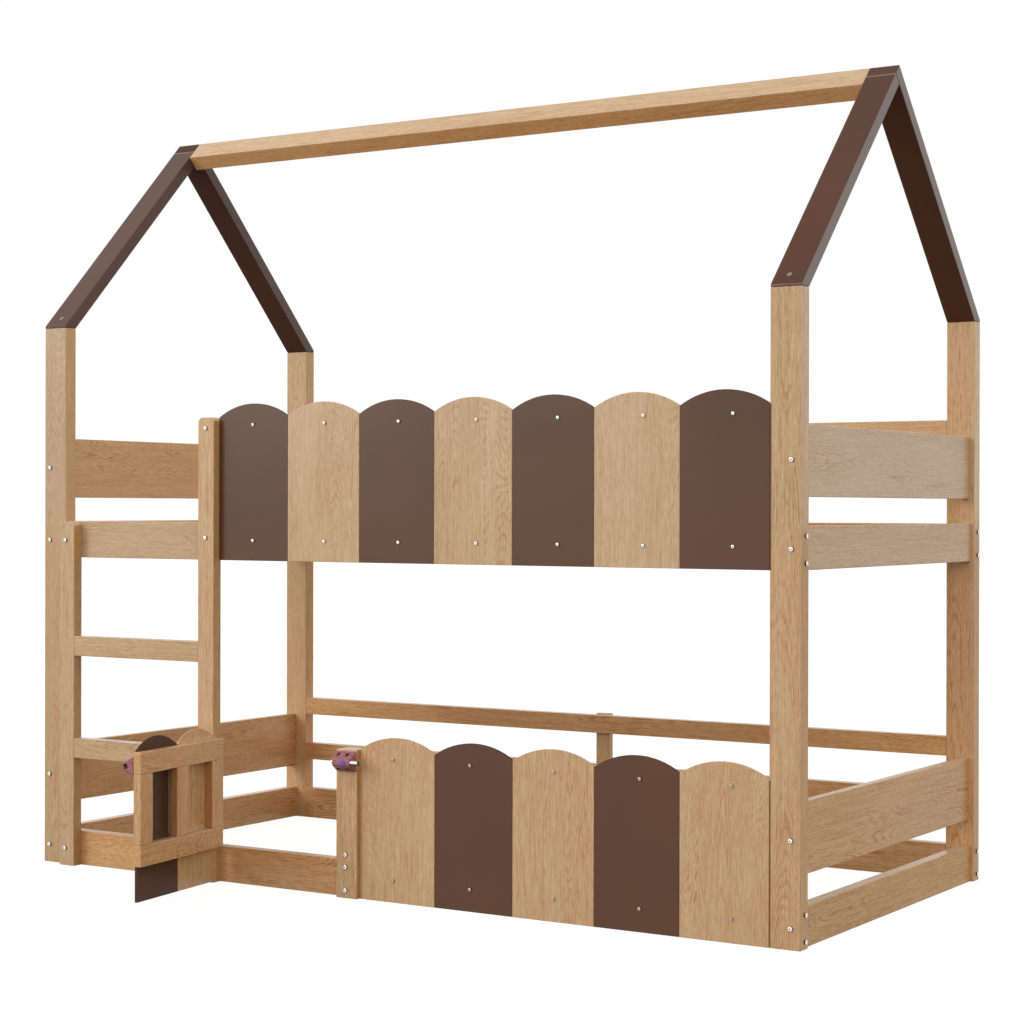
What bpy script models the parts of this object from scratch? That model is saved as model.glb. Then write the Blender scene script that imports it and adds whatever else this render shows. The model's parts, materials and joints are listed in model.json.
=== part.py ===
"""A child's house-frame bunk bed with scalloped front panels, a ladder and a small gate.

Four posts carry two gables and a ridge beam. The upper bunk has rails, guards and a slatted base, the
lower bunk is an open floor-level pen. The front holds the ladder at the left, a hinged gate beside it
and a row of panels, and the gate is kept shut by a sliding bolt with a button.

Metres, +Z up. +X runs along the bed and the front is on the -Y side. The bed is laid out about the
middle of its posts, and at the end it is moved so that the middle of its whole box is at X = Y = 0.
"""

import math

import bmesh
import bpy
from mathutils import Vector

# Bed frame
BED_LENGTH = 2.080
BED_WIDTH = 1.018
POST_WIDTH = 0.070
RAIL_THICKNESS = 0.028
SLIM_THICKNESS = 0.020
PANEL_THICKNESS = 0.008
SEAT_GAP = 0.0003
EDGE_ROUND = 0.0015
PANEL_EDGE_ROUND = 0.0008

# Lower bunk
LOWER_RAIL_HEIGHT = 0.085
LOWER_GUARD_GAP = 0.062
GUARD_HEIGHT = 0.149
END_RAIL_INSET = 0.008
END_GUARD_INSET = 0.013
BACK_RAIL_GAP = 0.0825
BACK_RAIL_HEIGHT = 0.047
BACK_RAIL_COUNT = 2
BACK_POST_WIDTH = 0.040
BACK_POST_X = 0.001
BACK_POST_STAND_UP = 0.003

# Upper bunk
LOWER_HEADROOM = 0.7665
UPPER_RAIL_HEIGHT = 0.0905
UPPER_GUARD_GAP = 0.059
BACK_GUARD_GAP = 0.099
BACK_GUARD_HEIGHT = 0.150
CLEAT_SIZE = 0.030
CLEAT_LIFT = 0.010
CLEAT_END_SPACE = 0.020
SLAT_WIDTH = 0.070
SLAT_THICKNESS = 0.018
SLAT_LARGEST_SPACE = 0.062
SLAT_SIDE_CLEARANCE = 0.002
STRAP_WIDTH = 0.025
STRAP_THICKNESS = 0.0025
STRAP_SINK = 0.001
STRAP_PLACE_SHARES = (-0.62, 0.0, 0.62)

# Roof
POST_ABOVE_GUARD = 0.235
ROOF_RISE = 0.532
RAFTER_THICKNESS = 0.030
RAFTER_LIP = 0.006
RIDGE_BEAM_DEPTH = 0.060
RIDGE_BEAM_THICKNESS = 0.042

# Front panels
UPPER_PANEL_COUNT = 7
LOWER_PANEL_COUNT = 5
UPPER_PANEL_SIDE_HEIGHT = 0.3395
SCALLOP_RISE = 0.031
SCALLOP_STEPS = 16
BATTEN_HEIGHT = 0.080
BATTEN_DROP = 0.001

# Ladder
LADDER_WIDTH = 0.4963
LADDER_UPRIGHT_WIDTH = 0.048
LADDER_THICKNESS = 0.028
LADDER_CORNER_CUT = 0.008
LEFT_UPRIGHT_DROP = 0.002
RUNG_HEIGHT = 0.049
RUNG_PLACE_SHARES = (0.351, 0.682)

# Gate
DOORWAY_WIDTH = 0.3587
LATCH_GAP = 0.015
LATCH_POST_WIDTH = 0.058
LATCH_POST_DROP = 0.005
GATE_RAIL_CLEARANCE = 0.0045
GATE_FRAME_HEIGHT = 0.2555
GATE_RAIL_HEIGHT = 0.0485
GATE_STILE_WIDTH = 0.048
GATE_PANEL_FLOOR_GAP = 0.007
GATE_PANEL_LIP = 0.001
GATE_PANEL_COUNT = 2
GATE_PANEL_SETBACK = 0.017
GATE_SCALLOP_RISE = 0.028
GATE_RECESS_DEPTH = 0.0045
GATE_RECESS_SILL = 0.010
GATE_OPEN_ANGLE = math.radians(82.6)

# Hinges
LEAF_THICKNESS = 0.0013
LEAF_LENGTH = 0.040
LEAF_EDGE_SPACE = 0.003
KNUCKLE_RADIUS = 0.0025
HINGE_PIN_RADIUS = 0.0012
KNUCKLE_COUNT = 3

# Lock and catch
LOCK_BASE_HEIGHT = 0.048
LOCK_NOSE_HEIGHT = 0.015
LOCK_DEPTH = 0.030
LOCK_TOP_SPACE = 0.003
LOCK_END_SPACE = 0.0005
LOCK_NOSE_TAPER = 0.009
LOCK_EDGE_ROUND = 0.003
BOLT_DISTANCE = 0.021
BOLT_RADIUS = 0.006
BOLT_CLEARANCE = 0.0004
BOLT_LEFT_INSET = 0.0055
BOLT_RIGHT_REACH = 0.020
BOLT_END_ROUND = 0.001
CATCH_LENGTH = 0.0165
CATCH_HOLE_RADIUS = 0.0066
BUTTON_RADIUS = 0.0055
BUTTON_CLEARANCE = 0.0004
BUTTON_TRAVEL = 0.0015
BUTTON_PROUD = 0.0018
BUTTON_EDGE_ROUND = 0.0005
BUTTON_PLACE_SHARE = 0.70
SCREW_WELL_RADIUS = 0.0035
SCREW_WELL_FLOOR = 0.006
SCREW_WELL_HEIGHT = 0.0165
SCREW_WELL_X_SHARES = (0.27, 0.71)

# Mesh fineness, and how far a cutter passes the face that it cuts
ROUND_SIDES = 32
SMALL_ROUND_SIDES = 24
CUT_OVERRUN = 0.002
WELD_DISTANCE = 0.000001

# Colours are linear red, green and blue, then roughness and metallic
FINISHES = {
    "oak": ((0.52, 0.31, 0.15), 0.55, 0.0),
    "brown": ((0.105, 0.058, 0.042), 0.45, 0.0),
    "mauve": ((0.30, 0.13, 0.14), 0.50, 0.0),
    "violet": ((0.13, 0.04, 0.62), 0.35, 0.0),
    "steel": ((0.62, 0.62, 0.63), 0.25, 1.0),
}

# Faces of the bed frame. A bay is the space between two posts.
HALF_LENGTH = BED_LENGTH / 2
HALF_WIDTH = BED_WIDTH / 2
POST_DEPTH = RAIL_THICKNESS + PANEL_THICKNESS
BAY_X = HALF_LENGTH - POST_WIDTH
BAY_Y = HALF_WIDTH - POST_DEPTH
RAIL_FACE = BAY_Y + RAIL_THICKNESS

# Heights, from the floor up
LOWER_GUARD_BOTTOM = LOWER_RAIL_HEIGHT + LOWER_GUARD_GAP
GATE_FRAME_BOTTOM = LOWER_RAIL_HEIGHT + GATE_RAIL_CLEARANCE
GATE_FRAME_TOP = GATE_FRAME_BOTTOM + GATE_FRAME_HEIGHT
LATCH_POST_TOP = GATE_FRAME_TOP - LATCH_POST_DROP
LOWER_PANEL_SIDE_HEIGHT = LATCH_POST_TOP + BATTEN_DROP
UPPER_RAIL_TOP = LOWER_HEADROOM + UPPER_RAIL_HEIGHT
CLEAT_BOTTOM = LOWER_HEADROOM + CLEAT_LIFT
SLAT_BOTTOM = CLEAT_BOTTOM + CLEAT_SIZE + SEAT_GAP
BACK_GUARD_BOTTOM = UPPER_RAIL_TOP + BACK_GUARD_GAP
POST_HEIGHT = BACK_GUARD_BOTTOM + BACK_GUARD_HEIGHT + POST_ABOVE_GUARD
RIDGE_HEIGHT = POST_HEIGHT + ROOF_RISE

# Places along the front, from left to right
LADDER_RIGHT = -BAY_X + LADDER_WIDTH
LATCH_POST_LEFT = LADDER_RIGHT + DOORWAY_WIDTH
LOWER_PANELS_LEFT = LATCH_POST_LEFT + LATCH_POST_WIDTH
SLIM_FRONT = RAIL_FACE + SLIM_THICKNESS
LADDER_FRONT = RAIL_FACE + LADDER_THICKNESS

# The gate is laid out shut, about its hinge axis: x runs to the free end and y towards the bed
HINGE_GAP = 2 * LEAF_THICKNESS + 3 * SEAT_GAP
HINGE_X = LADDER_RIGHT + HINGE_GAP / 2
HINGE_Y = -(LADDER_FRONT + SEAT_GAP + KNUCKLE_RADIUS)
GATE_WIDTH = DOORWAY_WIDTH - HINGE_GAP - LATCH_GAP
GATE_NEAR = HINGE_GAP / 2
GATE_FAR = GATE_NEAR + GATE_WIDTH
GATE_BACK = -RAIL_FACE - HINGE_Y
GATE_FACE = -SLIM_FRONT - HINGE_Y

# The bolt's axis, on the latch post and on the shut gate
LOCK_Z = LATCH_POST_TOP - LOCK_TOP_SPACE - LOCK_BASE_HEIGHT / 2
BOLT_Y = -(SLIM_FRONT + SEAT_GAP + BOLT_DISTANCE)


def clear_scene():
    for thing in list(bpy.data.objects):
        bpy.data.objects.remove(thing)


def new_collection(name):
    collection = bpy.data.collections.new(name)
    bpy.context.scene.collection.children.link(collection)
    return collection


def new_empty(name, place, parent=None):
    empty = bpy.data.objects.new(name, None)
    empty.location = place
    empty.parent = parent
    PARTS.objects.link(empty)
    return empty


def finish_material(name, finish):
    colour, roughness, metallic = FINISHES[finish]
    material = bpy.data.materials.new(name)
    material.use_nodes = True
    shader = material.node_tree.nodes["Principled BSDF"]
    shader.inputs["Base Color"].default_value = (*colour, 1.0)
    shader.inputs["Roughness"].default_value = roughness
    shader.inputs["Metallic"].default_value = metallic
    return material


def add_piece(name, mesh, finish, parent):
    """A visible piece of the bed, in its own material."""
    piece = bpy.data.objects.new(name, mesh)
    piece.parent = parent
    piece.data.materials.append(finish_material(name, finish))
    PARTS.objects.link(piece)
    return piece


def add_tool(name, mesh, parent):
    """A hidden solid that a Boolean joins to a piece or cuts from it."""
    tool = bpy.data.objects.new(name, mesh)
    tool.parent = parent
    tool.hide_render = True
    tool.display_type = "WIRE"
    TOOLS.objects.link(tool)
    return tool


def boolean(piece, tool, operation):
    modifier = piece.modifiers.new(tool.name, "BOOLEAN")
    modifier.operation = operation
    modifier.object = tool


def round_edges(piece, width, segments=2):
    modifier = piece.modifiers.new("rounded_edges", "BEVEL")
    modifier.width = width
    modifier.segments = segments
    modifier.limit_method = "ANGLE"
    modifier.use_clamp_overlap = True


def span(one, other):
    return min(one, other), max(one, other)


def middle(low_high):
    return (low_high[0] + low_high[1]) / 2


def length(low_high):
    return low_high[1] - low_high[0]


def add_box(shape, x, y, z):
    """Adds a box to a bmesh. Each of x, y and z is its lowest and its highest place."""
    corners = bmesh.ops.create_cube(shape, size=1)["verts"]
    bmesh.ops.scale(shape, vec=(length(x), length(y), length(z)), verts=corners)
    bmesh.ops.translate(shape, vec=(middle(x), middle(y), middle(z)), verts=corners)


def mesh_of(name, shape):
    mesh = bpy.data.meshes.new(name)
    shape.to_mesh(mesh)
    shape.free()
    return mesh


def box_mesh(name, *boxes):
    shape = bmesh.new()
    for box in boxes:
        add_box(shape, *box)
    return mesh_of(name, shape)


def rod_mesh(name, radius, rod_length, sides=ROUND_SIDES):
    """A rod along Z, centred on its own middle."""
    shape = bmesh.new()
    bmesh.ops.create_cone(
        shape, cap_ends=True, segments=sides, radius1=radius, radius2=radius, depth=rod_length
    )
    mesh = mesh_of(name, shape)
    mesh.shade_smooth()
    mesh.set_sharp_from_angle(angle=math.radians(40))
    return mesh


def plate_mesh(name, outline, thickness):
    """A flat outline in X and Y as a closed mesh, half its thickness to each side of Z = 0."""
    curve = bpy.data.curves.new(name + "_outline", "CURVE")
    curve.dimensions = "2D"
    curve.fill_mode = "BOTH"
    curve.extrude = thickness / 2
    spline = curve.splines.new("POLY")
    spline.points.add(len(outline) - 1)
    for point, (across, up) in zip(spline.points, outline):
        point.co = (across, up, 0, 1)
    spline.use_cyclic_u = True
    guide = bpy.data.objects.new(name + "_guide", curve)
    bpy.context.scene.collection.objects.link(guide)
    graph = bpy.context.evaluated_depsgraph_get()
    mesh = bpy.data.meshes.new_from_object(guide.evaluated_get(graph))
    bpy.data.objects.remove(guide)
    shape = bmesh.new()
    shape.from_mesh(mesh)
    bmesh.ops.remove_doubles(shape, verts=shape.verts, dist=WELD_DISTANCE)
    bmesh.ops.dissolve_limit(
        shape, angle_limit=math.radians(1), verts=shape.verts, edges=shape.edges
    )
    bmesh.ops.recalc_face_normals(shape, faces=shape.faces)
    shape.to_mesh(mesh)
    shape.free()
    mesh.name = name
    return mesh


def stand_up(piece):
    """Turns a plate so that its outline's X runs along X and its Y runs up."""
    piece.rotation_euler = (math.radians(90), 0, 0)


def face_along(piece):
    """Turns a plate so that its outline's X runs along Y, its Y runs up and it is extruded along X."""
    piece.rotation_euler = (math.radians(90), 0, math.radians(90))


def lay_along_x(piece):
    """Turns a rod so that it lies along X."""
    piece.rotation_euler = (0, math.radians(90), 0)


def lay_along_y(piece):
    """Turns a rod so that it lies along Y."""
    piece.rotation_euler = (math.radians(90), 0, 0)


def board(name, finish, x, y, z, parent=None):
    """A straight board with rounded edges. Each of x, y and z is its lowest and its highest place."""
    sizes = [span(-length(side) / 2, length(side) / 2) for side in (x, y, z)]
    piece = add_piece(name, box_mesh(name, sizes), finish, parent or BED)
    piece.location = (middle(x), middle(y), middle(z))
    round_edges(piece, EDGE_ROUND)
    return piece


def scallop_outline(width, side_height, rise):
    """A board with a round top, its foot centred on 0. The arc springs from both top corners."""
    radius = ((width / 2) ** 2 + rise**2) / (2 * rise)
    centre = side_height + rise - radius
    half_angle = math.asin(width / 2 / radius)
    outline = [(-width / 2, 0), (width / 2, 0)]
    for step in range(SCALLOP_STEPS + 1):
        angle = half_angle * (1 - 2 * step / SCALLOP_STEPS)
        outline.append((radius * math.sin(angle), centre + radius * math.cos(angle)))
    return outline


def scallop(name, finish, x, y, foot, side_height, rise, parent=None):
    """A scalloped panel over the places x and y, with its foot at the height foot."""
    outline = scallop_outline(length(x) - SEAT_GAP, side_height, rise)
    mesh = plate_mesh(name, outline, length(y))
    piece = add_piece(name, mesh, finish, parent or BED)
    stand_up(piece)
    piece.location = (middle(x), middle(y), foot)
    round_edges(piece, PANEL_EDGE_ROUND, segments=1)
    return piece


def panel_row(name, left, count, foot, side_height, first_finish):
    """A row of scalloped panels from left to the right-hand post, in two finishes by turns."""
    width = (BAY_X - SEAT_GAP - left) / count
    turns = ("brown", "oak") if first_finish == "brown" else ("oak", "brown")
    for index in range(count):
        x = (left + index * width, left + (index + 1) * width)
        y = (-HALF_WIDTH, -RAIL_FACE - SEAT_GAP)
        scallop(f"{name}_{index + 1}", turns[index % 2], x, y, foot, side_height, SCALLOP_RISE)


def make_posts():
    for x_side, x_name in ((-1, "left"), (1, "right")):
        for y_side, y_name in ((-1, "front"), (1, "back")):
            x = span(x_side * BAY_X, x_side * HALF_LENGTH)
            y = span(y_side * BAY_Y, y_side * HALF_WIDTH)
            board(f"post_{y_name}_{x_name}", "oak", x, y, (0, POST_HEIGHT))


def make_long_rails():
    """The front and back rails of both bunks. The upper ones carry a cleat for the slats."""
    x = (-BAY_X + SEAT_GAP, BAY_X - SEAT_GAP)
    cleat_x = (-BAY_X + CLEAT_END_SPACE, BAY_X - CLEAT_END_SPACE)
    cleat_z = (CLEAT_BOTTOM, CLEAT_BOTTOM + CLEAT_SIZE)
    for side, side_name in ((-1, "front"), (1, "back")):
        y = span(side * BAY_Y, side * RAIL_FACE)
        board(f"lower_rail_{side_name}", "oak", x, y, (0, LOWER_RAIL_HEIGHT))
        rail = board(f"upper_rail_{side_name}", "oak", x, y, (LOWER_HEADROOM, UPPER_RAIL_TOP))
        cleat_y = span(side * (BAY_Y - CLEAT_SIZE), side * (BAY_Y + RAIL_THICKNESS / 2))
        name = f"cleat_{side_name}"
        cleat = add_tool(name, box_mesh(name, (cleat_x, cleat_y, cleat_z)), BED)
        boolean(rail, cleat, "UNION")


def make_end_boards():
    """The rails and guards that close both ends of both bunks."""
    y = (-BAY_Y + SEAT_GAP, BAY_Y - SEAT_GAP)
    rail_face = HALF_LENGTH - END_RAIL_INSET
    guard_face = HALF_LENGTH - END_GUARD_INSET
    guard_foot = UPPER_RAIL_TOP + UPPER_GUARD_GAP
    for side, name in ((-1, "left"), (1, "right")):
        rail_x = span(side * rail_face, side * (rail_face - RAIL_THICKNESS))
        guard_x = span(side * guard_face, side * (guard_face - SLIM_THICKNESS))
        board(f"lower_rail_{name}", "oak", rail_x, y, (0, LOWER_RAIL_HEIGHT))
        lower = (LOWER_GUARD_BOTTOM, LOWER_GUARD_BOTTOM + GUARD_HEIGHT)
        board(f"lower_guard_{name}", "oak", guard_x, y, lower)
        board(f"upper_rail_{name}", "oak", rail_x, y, (LOWER_HEADROOM, UPPER_RAIL_TOP))
        upper = (guard_foot, guard_foot + GUARD_HEIGHT)
        board(f"upper_guard_{name}", "oak", guard_x, y, upper)


def make_back():
    """The upper back guard, the thin lower rails and the post behind them."""
    x = (-BAY_X + SEAT_GAP, BAY_X - SEAT_GAP)
    guard_y = (BAY_Y, BAY_Y + SLIM_THICKNESS)
    guard_z = (BACK_GUARD_BOTTOM, BACK_GUARD_BOTTOM + BACK_GUARD_HEIGHT)
    board("upper_guard_back", "oak", x, guard_y, guard_z)
    foot = LOWER_RAIL_HEIGHT + BACK_RAIL_GAP
    for index in range(BACK_RAIL_COUNT):
        rail_z = (foot, foot + BACK_RAIL_HEIGHT)
        board(f"back_thin_rail_{index + 1}", "oak", x, (BAY_Y, RAIL_FACE), rail_z)
        foot += BACK_RAIL_HEIGHT + BACK_RAIL_GAP
    post_x = (BACK_POST_X - BACK_POST_WIDTH / 2, BACK_POST_X + BACK_POST_WIDTH / 2)
    post_y = (RAIL_FACE + SEAT_GAP, RAIL_FACE + SEAT_GAP + SLIM_THICKNESS)
    board("back_centre_post", "oak", post_x, post_y, (0, foot - BACK_RAIL_GAP + BACK_POST_STAND_UP))


def make_slat_mat():
    """Slats joined by webbing straps, which lie on the cleats of the upper rails."""
    half_run = BAY_X - CLEAT_END_SPACE
    y = (-BAY_Y + SLAT_SIDE_CLEARANCE, BAY_Y - SLAT_SIDE_CLEARANCE)
    z = (SLAT_BOTTOM, SLAT_BOTTOM + SLAT_THICKNESS)
    run = 2 * half_run
    count = math.ceil((run + SLAT_LARGEST_SPACE) / (SLAT_WIDTH + SLAT_LARGEST_SPACE))
    pitch = (run - SLAT_WIDTH) / (count - 1)
    slats = []
    for index in range(count):
        left = -half_run + index * pitch
        slats.append(((left, left + SLAT_WIDTH), y, z))
    mat = add_piece("slat_mat", box_mesh("slat_mat", *slats), "oak", BED)
    strap_x = (-half_run + SLAT_WIDTH / 2, half_run - SLAT_WIDTH / 2)
    strap_z = (z[1] - STRAP_SINK, z[1] - STRAP_SINK + STRAP_THICKNESS)
    straps = []
    for share in STRAP_PLACE_SHARES:
        centre = share * BAY_Y
        strap_y = (centre - STRAP_WIDTH / 2, centre + STRAP_WIDTH / 2)
        straps.append((strap_x, strap_y, strap_z))
    boolean(mat, add_tool("mat_straps", box_mesh("mat_straps", *straps), BED), "UNION")


def crossing(start, direction, other_start, other_direction):
    """The point where two lines in one plane cross."""
    turn = direction.cross(other_direction)
    along = (other_start - start).cross(other_direction) / turn
    return start + direction * along


def make_roof():
    """Two gables and the ridge beam. The back rafter runs to the top, the front one butts under it."""
    foot = POST_HEIGHT + SEAT_GAP
    apex = Vector((0, RIDGE_HEIGHT))
    eave = Vector((-HALF_WIDTH, POST_HEIGHT + RAFTER_LIP))
    slope = (apex - eave).normalized()
    inward = Vector((slope.y, -slope.x))
    back_slope = Vector((slope.x, -slope.y))
    back_inward = Vector((-inward.x, inward.y))
    level = Vector((1, 0))
    floor_line = Vector((0, foot))
    inner = eave + inward * RAFTER_THICKNESS
    foot_inner = crossing(inner, slope, floor_line, level)
    back_inner = apex + back_inward * RAFTER_THICKNESS
    back_end = crossing(apex, slope, back_inner, back_slope)
    seat = apex + back_inward * (RAFTER_THICKNESS + SEAT_GAP)
    front_outline = (
        (-HALF_WIDTH, foot),
        foot_inner,
        crossing(inner, slope, seat, back_slope),
        crossing(apex, slope, seat, back_slope),
        eave,
    )
    back_outline = (
        (HALF_WIDTH, foot),
        (-eave.x, eave.y),
        apex,
        back_end,
        (-foot_inner.x, foot_inner.y),
    )
    beam_outline = (
        apex,
        apex - slope * RIDGE_BEAM_DEPTH,
        apex - slope * RIDGE_BEAM_DEPTH + inward * RIDGE_BEAM_THICKNESS,
        apex + inward * RIDGE_BEAM_THICKNESS,
    )
    for side, side_name in ((-1, "left"), (1, "right")):
        for outline, place in ((front_outline, "front"), (back_outline, "back")):
            name = f"rafter_{place}_{side_name}"
            rafter = add_piece(name, plate_mesh(name, outline, POST_WIDTH), "brown", BED)
            face_along(rafter)
            rafter.location = (side * (BAY_X + POST_WIDTH / 2), 0, 0)
            round_edges(rafter, EDGE_ROUND)
    beam_mesh = plate_mesh("ridge_beam", beam_outline, 2 * (BAY_X - SEAT_GAP))
    beam = add_piece("ridge_beam", beam_mesh, "oak", BED)
    face_along(beam)
    round_edges(beam, EDGE_ROUND)


def make_front_panels():
    """Both rows of panels, and the battens that hold them behind their tops."""
    panel_row(
        "upper_panel",
        LADDER_RIGHT + SEAT_GAP,
        UPPER_PANEL_COUNT,
        LOWER_HEADROOM,
        UPPER_PANEL_SIDE_HEIGHT,
        "brown",
    )
    panel_row(
        "lower_panel",
        LOWER_PANELS_LEFT + SEAT_GAP,
        LOWER_PANEL_COUNT,
        0,
        LOWER_PANEL_SIDE_HEIGHT,
        "oak",
    )
    y = (-RAIL_FACE, -BAY_Y)
    upper_top = LOWER_HEADROOM + UPPER_PANEL_SIDE_HEIGHT - BATTEN_DROP
    upper_x = (LADDER_RIGHT - LADDER_UPRIGHT_WIDTH, BAY_X - SEAT_GAP)
    board("upper_batten", "oak", upper_x, y, (upper_top - BATTEN_HEIGHT, upper_top))
    lower_top = LOWER_PANEL_SIDE_HEIGHT - BATTEN_DROP
    lower_x = (LATCH_POST_LEFT, BAY_X - SEAT_GAP)
    board("lower_batten", "oak", lower_x, y, (lower_top - BATTEN_HEIGHT, lower_top))


def cut_corner_outline(width, height, cut_left):
    """A board's front outline, centred on its foot, with its right or both top corners cut off."""
    outline = [(-width / 2, 0), (width / 2, 0), (width / 2, height - LADDER_CORNER_CUT)]
    outline.append((width / 2 - LADDER_CORNER_CUT, height))
    if cut_left:
        outline.append((-width / 2 + LADDER_CORNER_CUT, height))
        outline.append((-width / 2, height - LADDER_CORNER_CUT))
    else:
        outline.append((-width / 2, height))
    return outline


def make_ladder():
    """Two uprights in front of the rails, and the rungs between them."""
    y = (-LADDER_FRONT, -RAIL_FACE - SEAT_GAP)
    right_top = LOWER_HEADROOM + UPPER_PANEL_SIDE_HEIGHT
    left_x = (-BAY_X + SEAT_GAP, -BAY_X + SEAT_GAP + LADDER_UPRIGHT_WIDTH)
    right_x = (LADDER_RIGHT - LADDER_UPRIGHT_WIDTH, LADDER_RIGHT)
    uprights = (
        ("left", left_x, UPPER_RAIL_TOP - LEFT_UPRIGHT_DROP, False),
        ("right", right_x, right_top, True),
    )
    for side_name, x, height, cut_left in uprights:
        name = f"ladder_upright_{side_name}"
        outline = cut_corner_outline(length(x), height, cut_left)
        upright = add_piece(name, plate_mesh(name, outline, length(y)), "oak", BED)
        stand_up(upright)
        upright.location = (middle(x), middle(y), 0)
        round_edges(upright, EDGE_ROUND)
    rung_x = (left_x[1] + SEAT_GAP, right_x[0] - SEAT_GAP)
    for index, share in enumerate(RUNG_PLACE_SHARES):
        foot = share * LOWER_HEADROOM
        board(f"ladder_rung_{index + 1}", "oak", rung_x, y, (foot, foot + RUNG_HEIGHT))


def make_gate_frame():
    y = (GATE_FACE, GATE_BACK)
    rail_x = (GATE_NEAR, GATE_FAR)
    low_rail_top = GATE_FRAME_BOTTOM + GATE_RAIL_HEIGHT
    high_rail_foot = GATE_FRAME_TOP - GATE_RAIL_HEIGHT
    board("gate_rail_bottom", "oak", rail_x, y, (GATE_FRAME_BOTTOM, low_rail_top), GATE)
    board("gate_rail_top", "oak", rail_x, y, (high_rail_foot, GATE_FRAME_TOP), GATE)
    stile_z = (low_rail_top + SEAT_GAP, high_rail_foot - SEAT_GAP)
    for x, name in zip(gate_stiles(), ("hinge_stile", "mullion", "latch_stile")):
        board(f"gate_{name}", "oak", x, y, stile_z, GATE)


def gate_stiles():
    """The places along the gate of its hinge stile, its mullion and its latch stile."""
    centre = (GATE_NEAR + GATE_FAR) / 2
    half = GATE_STILE_WIDTH / 2
    return (
        (GATE_NEAR, GATE_NEAR + GATE_STILE_WIDTH),
        (centre - half, centre + half),
        (GATE_FAR - GATE_STILE_WIDTH, GATE_FAR),
    )


def recess_mesh(name, x, foot, top):
    """A cutter for a recess in the back of a gate panel. Its foot slopes up as it goes deeper."""
    outline = (
        (CUT_OVERRUN, foot),
        (CUT_OVERRUN, top),
        (-GATE_RECESS_DEPTH, top),
        (-GATE_RECESS_DEPTH, foot + GATE_RECESS_SILL),
        (0, foot),
    )
    return plate_mesh(name, outline, length(x))


def make_gate_panels():
    """Two scalloped panels on the gate's outer side, recessed in each window and behind the round top."""
    back = GATE_FACE - SEAT_GAP
    y = (back - PANEL_THICKNESS, back)
    width = (GATE_WIDTH - GATE_PANEL_SETBACK) / GATE_PANEL_COUNT
    side_height = GATE_FRAME_TOP + GATE_PANEL_LIP - GATE_PANEL_FLOOR_GAP
    stiles = gate_stiles()
    window_z = (GATE_FRAME_BOTTOM + GATE_RAIL_HEIGHT, GATE_FRAME_TOP - GATE_RAIL_HEIGHT)
    over_top = GATE_FRAME_TOP + GATE_SCALLOP_RISE + GATE_PANEL_LIP + CUT_OVERRUN
    for index, finish in enumerate(("oak", "brown")):
        left = GATE_NEAR + index * width
        x = (left, left + width)
        name = f"gate_panel_{index + 1}"
        panel = scallop(
            name, finish, x, y, GATE_PANEL_FLOOR_GAP, side_height, GATE_SCALLOP_RISE, GATE
        )
        window_x = (stiles[index][1], stiles[index + 1][0])
        top_x = (x[0] - CUT_OVERRUN, x[1] + CUT_OVERRUN)
        for cut_name, cut_x, foot, top in (
            (f"{name}_window", window_x, *window_z),
            (f"{name}_crown", top_x, GATE_FRAME_TOP, over_top),
        ):
            cutter = add_tool(cut_name, recess_mesh(cut_name, cut_x, foot, top), GATE)
            face_along(cutter)
            cutter.location = (middle(cut_x), back, 0)
            boolean(panel, cutter, "DIFFERENCE")


def knuckle_range(index):
    """The lowest and highest place of one knuckle, from the middle of its hinge."""
    pitch = LEAF_LENGTH / KNUCKLE_COUNT
    foot = -LEAF_LENGTH / 2 + index * pitch
    return foot + SEAT_GAP / 2, foot + pitch - SEAT_GAP / 2


def make_leaf(name, side, knuckles, height, parent):
    """A hinge leaf beside the hinge axis, on the side -1 or 1 of it, with its share of the knuckles."""
    outer = HINGE_GAP / 2 - SEAT_GAP
    x = span(side * outer, side * (outer - LEAF_THICKNESS))
    plate_y = (KNUCKLE_RADIUS + SEAT_GAP, GATE_BACK - LEAF_EDGE_SPACE)
    plate_z = (-LEAF_LENGTH / 2, LEAF_LENGTH / 2)
    leaf = add_piece(name, box_mesh(name, (x, plate_y, plate_z)), "steel", parent)
    for index in knuckles:
        z = knuckle_range(index)
        tab_name = f"{name}_tab_{index}"
        tab_y = (0, KNUCKLE_RADIUS + LEAF_THICKNESS)
        tab = add_tool(tab_name, box_mesh(tab_name, (x, tab_y, z)), parent)
        knuckle_name = f"{name}_knuckle_{index}"
        mesh = rod_mesh(knuckle_name, KNUCKLE_RADIUS, length(z), SMALL_ROUND_SIDES)
        knuckle = add_tool(knuckle_name, mesh, parent)
        tab.location = (0, 0, height)
        knuckle.location = (0, 0, height + middle(z))
        boolean(leaf, tab, "UNION")
        boolean(leaf, knuckle, "UNION")
    leaf.location = (0, 0, height)
    return leaf


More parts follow.
